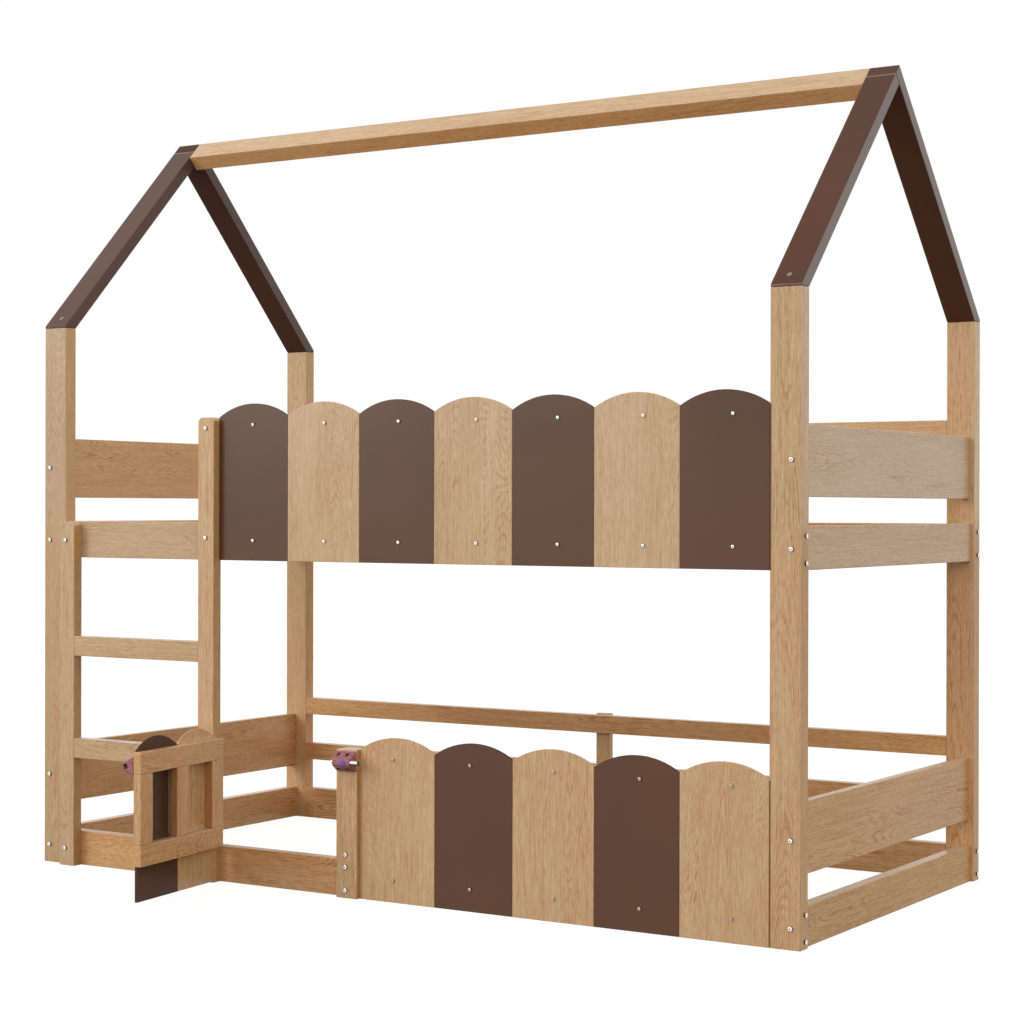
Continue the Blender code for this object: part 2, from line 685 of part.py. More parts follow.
def make_hinges():
    """Two butt hinges. The fixed leaf holds the pin, and the gate's leaf turns on it."""
    heights = (
        ("lower", GATE_FRAME_BOTTOM + GATE_RAIL_HEIGHT / 2),
        ("upper", GATE_FRAME_TOP - GATE_RAIL_HEIGHT / 2),
    )
    for place, height in heights:
        fixed = make_leaf(f"hinge_{place}_fixed_leaf", -1, (0, KNUCKLE_COUNT - 1), height, HINGE)
        pin_name = f"hinge_{place}_pin"
        pin_mesh = rod_mesh(pin_name, HINGE_PIN_RADIUS, LEAF_LENGTH - SEAT_GAP, SMALL_ROUND_SIDES)
        pin = add_tool(pin_name, pin_mesh, HINGE)
        pin.location = (0, 0, height)
        boolean(fixed, pin, "UNION")
        turning = make_leaf(f"hinge_{place}_gate_leaf", 1, (KNUCKLE_COUNT // 2,), height, GATE)
        bore_name = f"hinge_{place}_bore"
        bore_mesh = rod_mesh(
            bore_name, HINGE_PIN_RADIUS + SEAT_GAP, LEAF_LENGTH, SMALL_ROUND_SIDES
        )
        bore = add_tool(bore_name, bore_mesh, GATE)
        bore.location = (0, 0, height)
        boolean(turning, bore, "DIFFERENCE")


def lock_mesh(name, x, nose_x):
    """The lock's or the catch's form: a broad base over the places x narrows to a nose over nose_x."""
    shape = bmesh.new()
    base = (x, 0, LOCK_BASE_HEIGHT / 2)
    nose = (nose_x, -LOCK_DEPTH, LOCK_NOSE_HEIGHT / 2)
    for ends, depth, half_height in (base, nose):
        for end in ends:
            for side in (-1, 1):
                shape.verts.new((end - middle(x), depth, side * half_height))
    bmesh.ops.convex_hull(shape, input=shape.verts)
    bmesh.ops.dissolve_limit(
        shape, angle_limit=math.radians(1), verts=shape.verts, edges=shape.edges
    )
    bmesh.ops.recalc_face_normals(shape, faces=shape.faces)
    return mesh_of(name, shape)


def profiled_block(name, x, nose_x, face, parent):
    """A block of the lock's form, on a face at the place face along Y."""
    block = add_piece(name, lock_mesh(name, x, nose_x), "mauve", parent)
    block.location = (middle(x), face - SEAT_GAP, LOCK_Z)
    round_edges(block, LOCK_EDGE_ROUND)
    return block


def cut_bore(piece, name, radius, x, y, parent):
    """A round hole along X through the places x, on the bolt's height."""
    through = length(x) + 2 * CUT_OVERRUN
    bore = add_tool(name, rod_mesh(name, radius, through), parent)
    lay_along_x(bore)
    bore.location = (middle(x), y, LOCK_Z)
    boolean(piece, bore, "DIFFERENCE")


def make_catch():
    """The block at the gate's free end that takes the bolt."""
    x = (GATE_FAR - CATCH_LENGTH, GATE_FAR)
    catch = profiled_block("gate_catch", x, x, GATE_FACE, GATE)
    y = GATE_FACE - SEAT_GAP - BOLT_DISTANCE
    cut_bore(catch, "catch_hole", CATCH_HOLE_RADIUS, x, y, GATE)


def make_latch():
    """The latch post, the lock on it, the bolt that slides in the lock and the button on its nose."""
    post_x = (LATCH_POST_LEFT, LOWER_PANELS_LEFT)
    post_y = (-SLIM_FRONT, -RAIL_FACE - SEAT_GAP)
    board("latch_post", "oak", post_x, post_y, (0, LATCH_POST_TOP))
    x = (post_x[0], post_x[1] - LOCK_END_SPACE)
    nose_x = (x[0] + LOCK_NOSE_TAPER, x[1])
    body = profiled_block("lock_body", x, nose_x, -SLIM_FRONT, BED)
    cut_bore(body, "bolt_bore", BOLT_RADIUS + BOLT_CLEARANCE, x, BOLT_Y, BED)
    bolt_x = (x[0] + BOLT_LEFT_INSET, x[1] + BOLT_RIGHT_REACH)
    bolt_mesh = rod_mesh("lock_bolt", BOLT_RADIUS, length(bolt_x))
    bolt = add_piece("lock_bolt", bolt_mesh, "steel", BED)
    lay_along_x(bolt)
    bolt.location = (middle(bolt_x), BOLT_Y, LOCK_Z)
    round_edges(bolt, BOLT_END_ROUND)
    make_button(body, x)
    make_screw_wells(body, x)


def make_button(body, x):
    """A round button in the lock's nose. Pressed, it stops just short of the bolt."""
    nose = -SLIM_FRONT - SEAT_GAP - LOCK_DEPTH
    inner_end = BOLT_Y - BOLT_RADIUS - SEAT_GAP - BUTTON_TRAVEL
    y = (nose - BUTTON_PROUD, inner_end)
    place = x[0] + BUTTON_PLACE_SHARE * length(x)
    well_y = (nose - CUT_OVERRUN, BOLT_Y)
    well_mesh = rod_mesh("button_well", BUTTON_RADIUS + BUTTON_CLEARANCE, length(well_y))
    well = add_tool("button_well", well_mesh, BED)
    lay_along_y(well)
    well.location = (place, middle(well_y), LOCK_Z)
    boolean(body, well, "DIFFERENCE")
    button_mesh = rod_mesh("lock_button", BUTTON_RADIUS, length(y))
    button = add_piece("lock_button", button_mesh, "violet", BED)
    lay_along_y(button)
    button.location = (place, middle(y), LOCK_Z)
    round_edges(button, BUTTON_EDGE_ROUND)


def make_screw_wells(body, x):
    """Four wells in the lock's sloping sides, for the screws that hold it."""
    floor = -SLIM_FRONT - SEAT_GAP - SCREW_WELL_FLOOR
    mouth = -SLIM_FRONT - SEAT_GAP - LOCK_DEPTH
    wells = [(share, side) for share in SCREW_WELL_X_SHARES for side in (-1, 1)]
    for index, (share, side) in enumerate(wells):
        name = f"screw_well_{index + 1}"
        well = add_tool(name, rod_mesh(name, SCREW_WELL_RADIUS, floor - mouth), BED)
        lay_along_y(well)
        place = x[0] + share * length(x)
        well.location = (place, (floor + mouth) / 2, LOCK_Z + side * SCREW_WELL_HEIGHT)
        boolean(body, well, "DIFFERENCE")


def centre_on_floor():
    """Moves the whole bed so that the middle of its box, with the gate open, is at X = Y = 0."""
    bpy.context.view_layer.update()
    graph = bpy.context.evaluated_depsgraph_get()
    places = []
    for piece in PARTS.objects:
        if piece.type == "MESH":
            solid = piece.evaluated_get(graph)
            places += [solid.matrix_world @ point.co for point in solid.data.vertices]
    for axis in (0, 1):
        along = [place[axis] for place in places]
        BED.location[axis] = -(min(along) + max(along)) / 2


clear_scene()
PARTS = new_collection("bunk_bed")
TOOLS = new_collection("joining_and_cutting_solids")
BED = new_empty("bed", (0, 0, 0))
HINGE = new_empty("hinge_axis", (HINGE_X, HINGE_Y, 0), BED)
GATE = new_empty("gate", (0, 0, 0), HINGE)
GATE.rotation_euler = (0, 0, -GATE_OPEN_ANGLE)

make_posts()
make_long_rails()
make_end_boards()
make_back()
make_slat_mat()
make_roof()
make_front_panels()
make_ladder()
make_gate_frame()
make_gate_panels()
make_hinges()
make_catch()
make_latch()
centre_on_floor()
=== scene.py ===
"""Looks for a child's house-frame bunk bed: oak boards, brown paint, fasteners, lock, light and camera.

The bed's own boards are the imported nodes, each with a material of its own. The slats, their straps and
the fasteners are made here. Metres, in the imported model's frame: +X along the bed, the front at -Y, +Z up.
"""

import json
import math
import random

import bmesh
import bpy
from mathutils import Matrix, Vector


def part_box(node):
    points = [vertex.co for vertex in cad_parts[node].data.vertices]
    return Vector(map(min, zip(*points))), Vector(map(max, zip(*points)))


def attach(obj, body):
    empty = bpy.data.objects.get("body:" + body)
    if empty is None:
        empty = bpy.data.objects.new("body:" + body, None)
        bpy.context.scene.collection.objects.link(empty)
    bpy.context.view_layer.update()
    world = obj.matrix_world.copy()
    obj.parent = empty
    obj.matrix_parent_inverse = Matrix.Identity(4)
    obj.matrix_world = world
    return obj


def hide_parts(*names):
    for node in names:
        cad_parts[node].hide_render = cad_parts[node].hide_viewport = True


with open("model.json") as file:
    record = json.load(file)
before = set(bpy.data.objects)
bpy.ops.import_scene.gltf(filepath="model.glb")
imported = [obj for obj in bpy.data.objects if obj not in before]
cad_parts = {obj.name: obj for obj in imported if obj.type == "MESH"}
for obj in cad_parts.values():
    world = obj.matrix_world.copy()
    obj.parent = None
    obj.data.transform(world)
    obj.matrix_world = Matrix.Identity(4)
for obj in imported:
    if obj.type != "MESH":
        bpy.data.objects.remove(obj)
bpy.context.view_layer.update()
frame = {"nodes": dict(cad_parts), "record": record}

# Camera, from the photograph's perspective
IMAGE_PIXELS = 1024
FOCAL_PIXELS = 2180.06
SENSOR_MM = 36.0
CAMERA_REACH = 100.0
CAMERA_PLACE = (2.88704, -4.35291, 0.89090)
CAMERA_YAW = math.radians(32.242)
CAMERA_PITCH = math.radians(-0.0928)
CAMERA_ROLL = math.radians(0.1256)

# Light: an even sky, a lamp at each side of the front, and a floor that shows white
WHITE = (1.0, 1.0, 1.0, 1.0)
SKY_LEVEL = 1.0
FLOOR_COLOUR = (0.12, 0.12, 0.12, 1.0)
FLOOR_ROUGHNESS = 0.9
FLOOR_LIFT = 0.93
FLOOR_SIZE = 60.0
LAMP_SIZE = 3.4
LAMP_AIM_HEIGHT = 0.9
LEFT_LAMP_PLACE = (-4.6, -5.4, 3.4)
LEFT_LAMP_POWER = 168.0
RIGHT_LAMP_PLACE = (4.6, -5.4, 3.4)
RIGHT_LAMP_POWER = 60.0

# The middle between the front and the back posts, and the open gate's turn about its hinges
MIDDLE_Y = (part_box("post_front_left")[0].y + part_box("post_back_left")[1].y) / 2
GATE_TURN = math.radians(-82.6)
GATE_MATRIX = Matrix.Rotation(GATE_TURN, 3, "Z")
HINGE_AXIS = Vector((-0.47195, -0.355936, 0.0))
X_AXIS, Y_AXIS, Z_AXIS = Vector((1, 0, 0)), Vector((0, 1, 0)), Vector((0, 0, 1))
SMOOTH_ANGLE = math.radians(35)

# Slats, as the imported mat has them, and the straps and staples on them
SLAT_COUNT = 15
SLAT_WIDTH = 0.070
SLAT_THICKNESS = 0.018
SLAT_EDGE = 0.003
EDGE_SEGMENTS = 3
STRAP_WIDTH = 0.025
STRAP_THICKNESS = 0.0014
STRAP_SHARES = (-0.62, 0.0, 0.62)
STRAP_SECTION = ((-1, 0), (-0.94, 1), (0.94, 1), (1, 0))
STRAP_SAG = 0.0022
STRAP_STEPS = 6
STAPLE_SIZE = (0.0009, 0.0110, 0.0006)
STAPLE_SPREAD = 0.017
STAPLE_EDGE_SHARE = 0.3

# Fasteners. A ring of a head is its outline, its radius, its height and its finish, from the foot inwards.
# The second finish is painted shade, on collars and skirts and in recesses
HEAD_SIDES = 24
HEAD_SINK = -0.0002
HEAD_TURN_SEED = 11
SHOWN, IN_SHADE = 0, 1
CROSS_WIDTH_SHARE = 0.27
PAN_SCREW_SIZE = 0.0040
BOLT_BEHIND_MIDDLE = 0.004
POST_BOLT_X = (-1.0215, 1.018)
POST_BOLT_HEIGHTS = (0.991, 0.81, 0.2213, 0.044)
SIDE_BOLT_HEIGHTS = (0.8365, 0.7815, 0.0705, 0.016)
UPPER_PANEL_COUNT = 7
UPPER_PANEL_SCREW_START = -0.3698
UPPER_PANEL_SCREW_PITCH = 0.2095
UPPER_PANEL_SCREW_X = tuple(UPPER_PANEL_SCREW_START + UPPER_PANEL_SCREW_PITCH * index
                            for index in range(UPPER_PANEL_COUNT))
UPPER_PANEL_SCREW_HEIGHTS = (1.087, 0.8138)
LOWER_PANEL_SCREW_X = (0.036, 0.244, 0.4592, 0.6707, 0.8849)
LOWER_PANEL_SCREW_HEIGHTS = (0.3233, 0.05)
UPRIGHT_SCREWS = (("ladder_upright_left", -0.9498, (0.81, 0.0438)),
                  ("ladder_upright_right", -0.498, (1.0806, 0.8195)),
                  ("latch_post", -0.088, (0.0997, 0.0720, 0.0186)))
DOWEL_HEIGHTS = (0.572, 0.54)
RAFTER_SCREW_X = {"left": -1.0030, "right": 1.0035}
RAFTER_SCREW_Y = -0.31365
RAFTER_SCREW_Z = 1.3672
RAFTER_SCREW_SIZE = 0.0050
RAFTER_SCREW_STAND = 0.0006
LOCK_SCREW_X_SHARES = (0.27, 0.71)
LOCK_SCREW_HEIGHT = 0.0165
LOCK_SCREW_SIZE = 0.0031
LOCK_WELL_DEPTH = 0.006
LOCK_WELL_RADIUS = 0.0035
LOCK_WELL_RIM_SHARE = 1.2
LEAF_FACE_GAP = 0.00015
LEAF_SCREW_SHARES = (0.16, 0.5, 0.84)
LEAF_SCREW_DEPTH_SHARE = 0.58
LEAF_SCREW_SIZE = 0.0024
LEAF_SCREW_STAND = 0.0001

# Oak's lightest and darkest wood, linear, and the darkness that a board's contrast turns about
OAK_LIGHT = (0.685, 0.465, 0.25, 1.0)
OAK_DARK = (0.355, 0.11, 0.012, 1.0)
OAK_MIDDLE = 0.36

# Tints that multiply a board's colour. Most are a board's own tone, but some are painted light: warm painted
# shade on pieces inside the bed and low at the right, a painted lift of light on the back left post, warm
# painted bounce light on the left guard and rail, painted sheen on the upper right guard, painted light on
# the back right post and painted shade on the ridge beam
PLAIN = (1.0, 1.0, 1.0, 1.0)
PALE = (0.98, 1.06, 1.20, 1.0)
CHALKY_SHEEN = (1.02, 1.12, 1.36, 1.0)
WARM_SHADE = (1.07, 0.92, 0.74, 1.0)
GOLDEN = (1.04, 0.905, 0.745, 1.0)
MUTED = (0.96, 0.99, 1.08, 1.0)
SHADED = (0.88, 0.90, 0.98, 1.0)
MILD = (1.08, 0.97, 0.82, 1.0)
SOFT = (1.00, 0.94, 0.83, 1.0)
LOW_WARM_SHADE = (0.95, 0.84, 0.665, 1.0)
COOL = (0.93, 0.96, 1.02, 1.0)
FAINT = (0.90, 0.97, 1.10, 1.0)
PAINTED_LIGHT_LIFT = (1.12, 1.12, 1.10, 1.0)
WARM_BOUNCE_LIGHT = (1.15, 0.99, 0.78, 1.0)
SUNLIT = (1.15, 1.06, 0.98, 1.0)
# Painted sheen on a board's top, and warm painted shade on its underside
TOP_SHEEN_TINT = (0.96, 1.20, 1.90, 1.0)
UNDER_SHADE_TINT = (1.24, 1.03, 0.75, 1.0)

# Painted light and shade on a board's narrow upright sides: painted shade on most, alike, deeper in the
# gate's reveals, and painted sheen on the gate's latch stile
SIDE_SHADE_TINT = (0.91, 0.79, 0.59, 1.0)
REVEAL_SHADE_TINT = (0.68, 0.53, 0.44, 1.0)
SIDE_LIGHT_TINTS = {"gate_mullion": REVEAL_SHADE_TINT,
              "gate_hinge_stile": REVEAL_SHADE_TINT,
              "gate_latch_stile": (0.97, 1.12, 1.34, 1.0),
              "latch_post": (0.89, 0.70, 0.48, 1.0),
              "post_back_right": (0.77, 0.71, 0.54, 1.0),
              "post_front_left": (1.03, 1.00, 0.86, 1.0),
              "post_back_left": (1.02, 0.90, 0.70, 1.0)}

# Above the bunks, painted light and sheen on a post's front and back, and on its sides
HIGH_HEIGHTS = (0.78, 0.90)
HIGH_LIGHT_TINTS = {"post_front_right": ((0.96, 0.99, 1.03, 1.0), (1.18, 1.51, 2.34, 1.0)),
              "post_front_left": ((0.97, 1.04, 1.14, 1.0), (1.00, 1.03, 1.08, 1.0)),
              "post_back_right": ((0.86, 0.94, 1.02, 1.0), (1.26, 1.68, 2.68, 1.0)),
              "post_back_left": ((0.84, 0.90, 0.98, 1.0), (0.86, 0.96, 1.17, 1.0))}

# A painted shadow of the gap where the front panels meet the front right post
JOINT_SHADOW_TINT = (0.34, 0.21, 0.12, 1.0)
JOINT_WIDTH = 0.0042
JOINT_CORE_SHARE = 0.6

# The width and length of the staves in solid and in glued boards, and the numbers of two cuts
SOLID = (0.20, 3.0)
GLUED = (0.041, 0.42)
SLAT_STAVE_LENGTH = 3.0
SLAT_BOARD = 71.0
DOWEL_BOARD = 83.0

# The oak's noises: the scales across, through and along a board, the detail and the roughness
WANDER_NOISE = ((9.0, 9.0, 2.2), 2.0, 0.5)
WAVER_NOISE = ((90.0, 90.0, 14.0), 3.0, 0.5)
FINE_WAVER_NOISE = ((420.0, 420.0, 60.0), 2.0, 0.5)
PATCH_NOISE = ((13.0, 13.0, 3.0), 2.0, 0.5)
FIBRE_NOISE = ((480.0, 480.0, 9.0), 2.0, 0.6)
DASH_NOISE = ((400.0, 400.0, 48.0), 1.0, 0.6)
PORE_NOISE = ((900.0, 900.0, 60.0), 1.0, 0.5)
FLECK_NOISE = ((190.0, 190.0, 26.0), 1.0, 0.5)
STREAK_NOISE = ((90.0, 90.0, 1.8), 3.0, 0.6)
TONE_NOISE = ((8.0, 8.0, 1.2), 2.0, 0.5)
NOISE_RANGE = (0.25, 0.75)

# The oak's rings: how far the tree's middle lies from a stave, and how the rings waver
BOARD_STEPS = (3.17, 1.31, 5.77)
SECOND_DRAW_SCALES = (1.7, 2.3, 3.1)
RING_WIDTH = 0.0024
DOWEL_RING_WIDTH = 0.0012
PITH_ASIDE = 0.008
FAR_PITH_CHANCES = (0.50, 0.60)
FAR_PITH_ASIDE = 0.055
PITH_DEPTHS = (0.022, 0.05)
PITH_LEAN = 0.12
WANDER_ASIDE = 0.016
WANDER_DEPTH = 0.018
RING_WAVER = 0.8
FINE_RING_WAVER = 0.35
YEAR_STEP = 17.0
WEAK_YEAR = 0.25
EARLY_END = 0.42
EARLY_START = 0.84
PATCH_RANGE = (0.40, 0.60)
PATCH_LOW = 0.35

# How much each part of the grain darkens the oak, and how deep it lies
GROUND_DARKNESS = 0.19
EARLY_DARKNESS = 0.54
PORE_RANGE = (0.52, 0.68)
PORE_DARKNESS = 0.10
EARLY_PORE_DARKNESS = 0.25
FIBRE_CONTRAST = 0.29
DASH_CONTRAST = 0.20
STREAK_CONTRAST = 0.07
TONE_CONTRAST = 0.06
PIECE_CONTRASTS = (-0.05, 0.07)
FLECK_RANGE = (0.57, 0.72)
FLECK_PALENESS = 0.14
EARLY_RELIEF = 0.4
PORE_RELIEF = 0.6
OAK_ROUGHNESS = (0.28, 0.36)
OAK_BUMP = (0.00012, 0.2)
GRAIN_STRENGTHS = {"post_front_left": 0.60, "post_front_right": 0.78, "post_back_left": 0.70,
                   "upper_": 0.68, "lower_panel": 0.78, "post_": 0.90, "ladder_": 0.75}

# Where one look gives way to another, by how far a face looks up or to one side
TOP_TINT_SLOPES = (0.85, 0.98)
UNDER_TINT_SLOPES = (-0.6, -0.4)
UPRIGHT_SLOPES = (0.4, 0.6)
EDGE_FACINGS = (0.55, 0.85)
UNDER_SHEEN_SLOPES = (-0.5, -0.1)
ROOF_SHEEN_SLOPES = (0.3, 0.6)
TOP_SHEEN_SLOPES = (0.9, 0.98)
LOCK_UNDER_SLOPES = (-0.6, 0.1)
STEEL_UNDER_SLOPES = (-0.6, 0.4)
STEEL_END_FACINGS = (0.2, 0.8)
FRONT_FACING = -0.3
ROOF_FACING = 0.3
WALL_FACING = 0.5

# Gloss of the oak and the paint, and the shares of it on tops, slopes and undersides
OAK_SHEEN = 0.40
POST_SHEEN = 0.32
OAK_SHEENS = {"lower_guard_right": 0.20, "lower_rail_right": 0.10}
PAINT_SHEEN = 0.42
GATE_PAINT_SHEEN = 0.13
ROOF_SHEEN = 0.95
LEFT_ROOF_SHEEN = 0.22
FAR_ROOF_SHEEN = 0.50
TOP_SHEEN_SHARE = 2.5
SLOPE_SHEEN_SHARE = 0.15
LEFT_SLOPE_SHEEN_SHARE = 0.68
UNDERSIDE_SHEEN_SHARE = 0.3
ROOF_UNDERSIDE_SHEEN_SHARE = 0.13
FAR_UNDERSIDE_SHEEN_SHARE = 0.11

# Paint, linear: lit and shaded copies of one brown for the lower panels, the gate and the rafters, with a
# painted highlight on the line of the roof's joint and on the wall of the gate's recess
PAINT = (0.098, 0.038, 0.014, 1.0)
LOW_SHADED_PAINT = (0.099, 0.034, 0.008, 1.0)
GATE_PAINT = (0.092, 0.04, 0.017, 1.0)
ROOF_PAINT = (0.083, 0.03, 0.013, 1.0)
LEFT_ROOF_LIT_PAINT = (0.098, 0.051, 0.036, 1.0)
FAR_ROOF_SHADED_PAINT = (0.061, 0.021, 0.008, 1.0)
JOINT_HIGHLIGHT_PAINT = (0.23, 0.165, 0.14, 1.0)
JOINT_LINE_HEIGHT = 0.0024
REVEAL_HIGHLIGHT_PAINT = (0.30, 0.21, 0.17, 1.0)
REVEAL_DEPTH = 0.002
PAINT_LIGHT_SHARE = 1.10
PAINT_DARK_SHARE = 0.90
PAINT_CLOUD_NOISE = ((3.0, 3.0, 3.0), 3.0)
PAINT_FINE_NOISE = ((420.0, 420.0, 420.0), 2.0)
PAINT_GRAIN_NOISE = ((420.0, 420.0, 18.0), 3.0)
PAINT_GRAIN_SHARE = 0.8
PAINT_ROUGHNESS = (0.28, 0.36)
PAINT_BUMP = (0.00012, 0.6)
SURFACE_RANGE = (0.3, 0.7)

# Plastic, linear. A surface is its speckle's scale, its roughness and the depth of its grain
MAUVE_LIGHT = (0.47, 0.19, 0.195, 1.0)
MAUVE_DARK = (0.18, 0.055, 0.062, 1.0)
MAUVE_SURFACE = (320.0, 0.5, 0.0001)
VIOLET = (0.19, 0.06, 0.82, 1.0)
VIOLET_DARK_SHARE = 0.8
VIOLET_SURFACE = (900.0, 0.3, 0.00002)
# Painted shade in the lock's screw wells and on its underside
WELL_SHADE = (0.022, 0.006, 0.007, 1.0)
LOCK_UNDER_SHADE = (0.76, 0.52, 0.64, 1.0)
SPECKLE_DETAIL = (4.0, 0.65)
SPECKLE_RANGE = (0.36, 0.64)
PLASTIC_NOISE = ((1600.0, 1600.0, 1600.0), 2.0)
PLASTIC_BUMP_STRENGTH = 0.5

# Steel, linear. A brush is the scales of its fine lines along X, Y and Z
BRIGHT_STEEL = (0.78, 0.78, 0.79, 1.0)
SCREW_STEEL = (0.84, 0.815, 0.78, 1.0)
# Painted shade of steel: on the bolt's underside and ends, on collars and skirts, in recesses, and on the
# lock's sunk screws
SHADE_STEEL_COLOUR = (0.045, 0.036, 0.03, 1.0)
DULL_STEEL = (0.43, 0.375, 0.33, 1.0)
AGED_STEEL = (0.50, 0.43, 0.36, 1.0)
EVEN_BRUSH = (900.0, 900.0, 900.0)
LEAF_BRUSH = (900.0, 900.0, 60.0)
BOLT_BRUSH = (60.0, 1200.0, 1200.0)
BOLT_ROUGHNESS = 0.14
SCREW_ROUGHNESS = 0.30
DULL_ROUGHNESS = 0.4
SHADE_STEEL_ROUGHNESS = 0.45
ROUGHNESS_SPREAD = (0.8, 1.25)
STEEL_END_SHARE = 0.75
STEEL_BUMP = (0.00002, 0.4)

# Webbing, linear
WEBBING = (0.70, 0.67, 0.60, 1.0)
WEBBING_DARK_SHARE = 0.55
WEFT_SCALE = 260.0
WARP_SCALE = 180.0
WEAVE_DISTORTION = 0.6
WEBBING_ROUGHNESS = 0.85
WEBBING_BUMP = (0.0004, 0.8)


def feed(tree, node, key, value):
    """Gives a node's input, by its number or name, its value or the socket that feeds it."""
    if isinstance(value, bpy.types.NodeSocket):
        tree.links.new(value, node.inputs[key])
    else:
        node.inputs[key].default_value = value


def add_node(tree, kind, inputs=None, **settings):
    """Adds a node with the given settings and what its inputs get."""
    node = tree.nodes.new(kind)
    for name, value in settings.items():
        setattr(node, name, value)
    for key, value in (inputs or {}).items():
        feed(tree, node, key, value)
    return node


def calc(tree, operation, *values):
    node = add_node(tree, "ShaderNodeMath", dict(enumerate(values)), operation=operation)
    return node.outputs[0]


def total(tree, first, *others):
    for other in others:
        first = calc(tree, "ADD", first, other)
    return first


def product(tree, first, *others):
    for other in others:
        first = calc(tree, "MULTIPLY", first, other)
    return first


def calc_vector(tree, operation, *values, output=0):
    node = add_node(tree, "ShaderNodeVectorMath", dict(enumerate(values)), operation=operation)
    return node.outputs[output]


def times(tree, vector, scales):
    return calc_vector(tree, "MULTIPLY", vector, scales)


def dot(tree, vector, other):
    return calc_vector(tree, "DOT_PRODUCT", vector, other, output=1)


def join(tree, *parts):
    """A vector of up to three parts."""
    return add_node(tree, "ShaderNodeCombineXYZ", dict(enumerate(parts))).outputs[0]


def split(tree, vector):
    """A vector's three parts."""
    return add_node(tree, "ShaderNodeSeparateXYZ", {0: vector}).outputs


def coordinate(tree, name):
    """A point's place, by the name Object, or its face's direction, by the name Normal."""
    return add_node(tree, "ShaderNodeTexCoord").outputs[name]


def noise(tree, vector, scales, detail=2.0, roughness=0.5, output=0):
    """Noise of about one cell per metre, after the vector is multiplied by scales."""
    inputs = {"Vector": times(tree, vector, scales), "Scale": 1.0, "Detail": detail, "Roughness": roughness}
    return add_node(tree, "ShaderNodeTexNoise", inputs).outputs[output]


def white_noise(tree, output=0, **inputs):
    """A number or a colour that differs with every value of W, a number, or of Vector."""
    kind = "1D" if "W" in inputs else "3D"
    return add_node(tree, "ShaderNodeTexWhiteNoise", inputs, noise_dimensions=kind).outputs[output]


def ramp(tree, value, low, high, to_low, to_high, smooth=True):
    """The value, read from low to high as a number from to_low to to_high."""
    inputs = {0: value, 1: low, 2: high, 3: to_low, 4: to_high}
    kind = "SMOOTHSTEP" if smooth else "LINEAR"
    return add_node(tree, "ShaderNodeMapRange", inputs, interpolation_type=kind).outputs[0]


def pick(tree, chance, low, high):
    """A number from low to high, for a chance from 0 to 1."""
    return ramp(tree, chance, 0.0, 1.0, low, high, False)


def swing(tree, chance, amount):
    """A number from minus the amount to the amount, for a chance from 0 to 1."""
    return pick(tree, chance, -amount, amount)


def mix_colour(tree, factor, one, other):
    inputs = {0: factor, 6: one, 7: other}
    return add_node(tree, "ShaderNodeMix", inputs, data_type="RGBA").outputs[2]


def scaled(colour, share):
    """A colour with its three parts multiplied by a share."""
    return tuple(part * share for part in colour[:3]) + (1.0,)


def new_material(name):
    """A material with an empty node tree but for its output and its Principled shader."""
    material = bpy.data.materials.new(name)
    material.use_nodes = True
    return material, material.node_tree, material.node_tree.nodes["Principled BSDF"]


def bump(tree, shader, height, distance, strength):
    inputs = {"Height": height, "Distance": distance, "Strength": strength}
    node = add_node(tree, "ShaderNodeBump", inputs)
    feed(tree, shader, "Normal", node.outputs[0])


def from_middle(tree, count, size):
    """The distance from the middle of the unit that a running count is in, for units of the given size."""
    return product(tree, calc(tree, "SUBTRACT", calc(tree, "FRACT", count), 0.5), size)


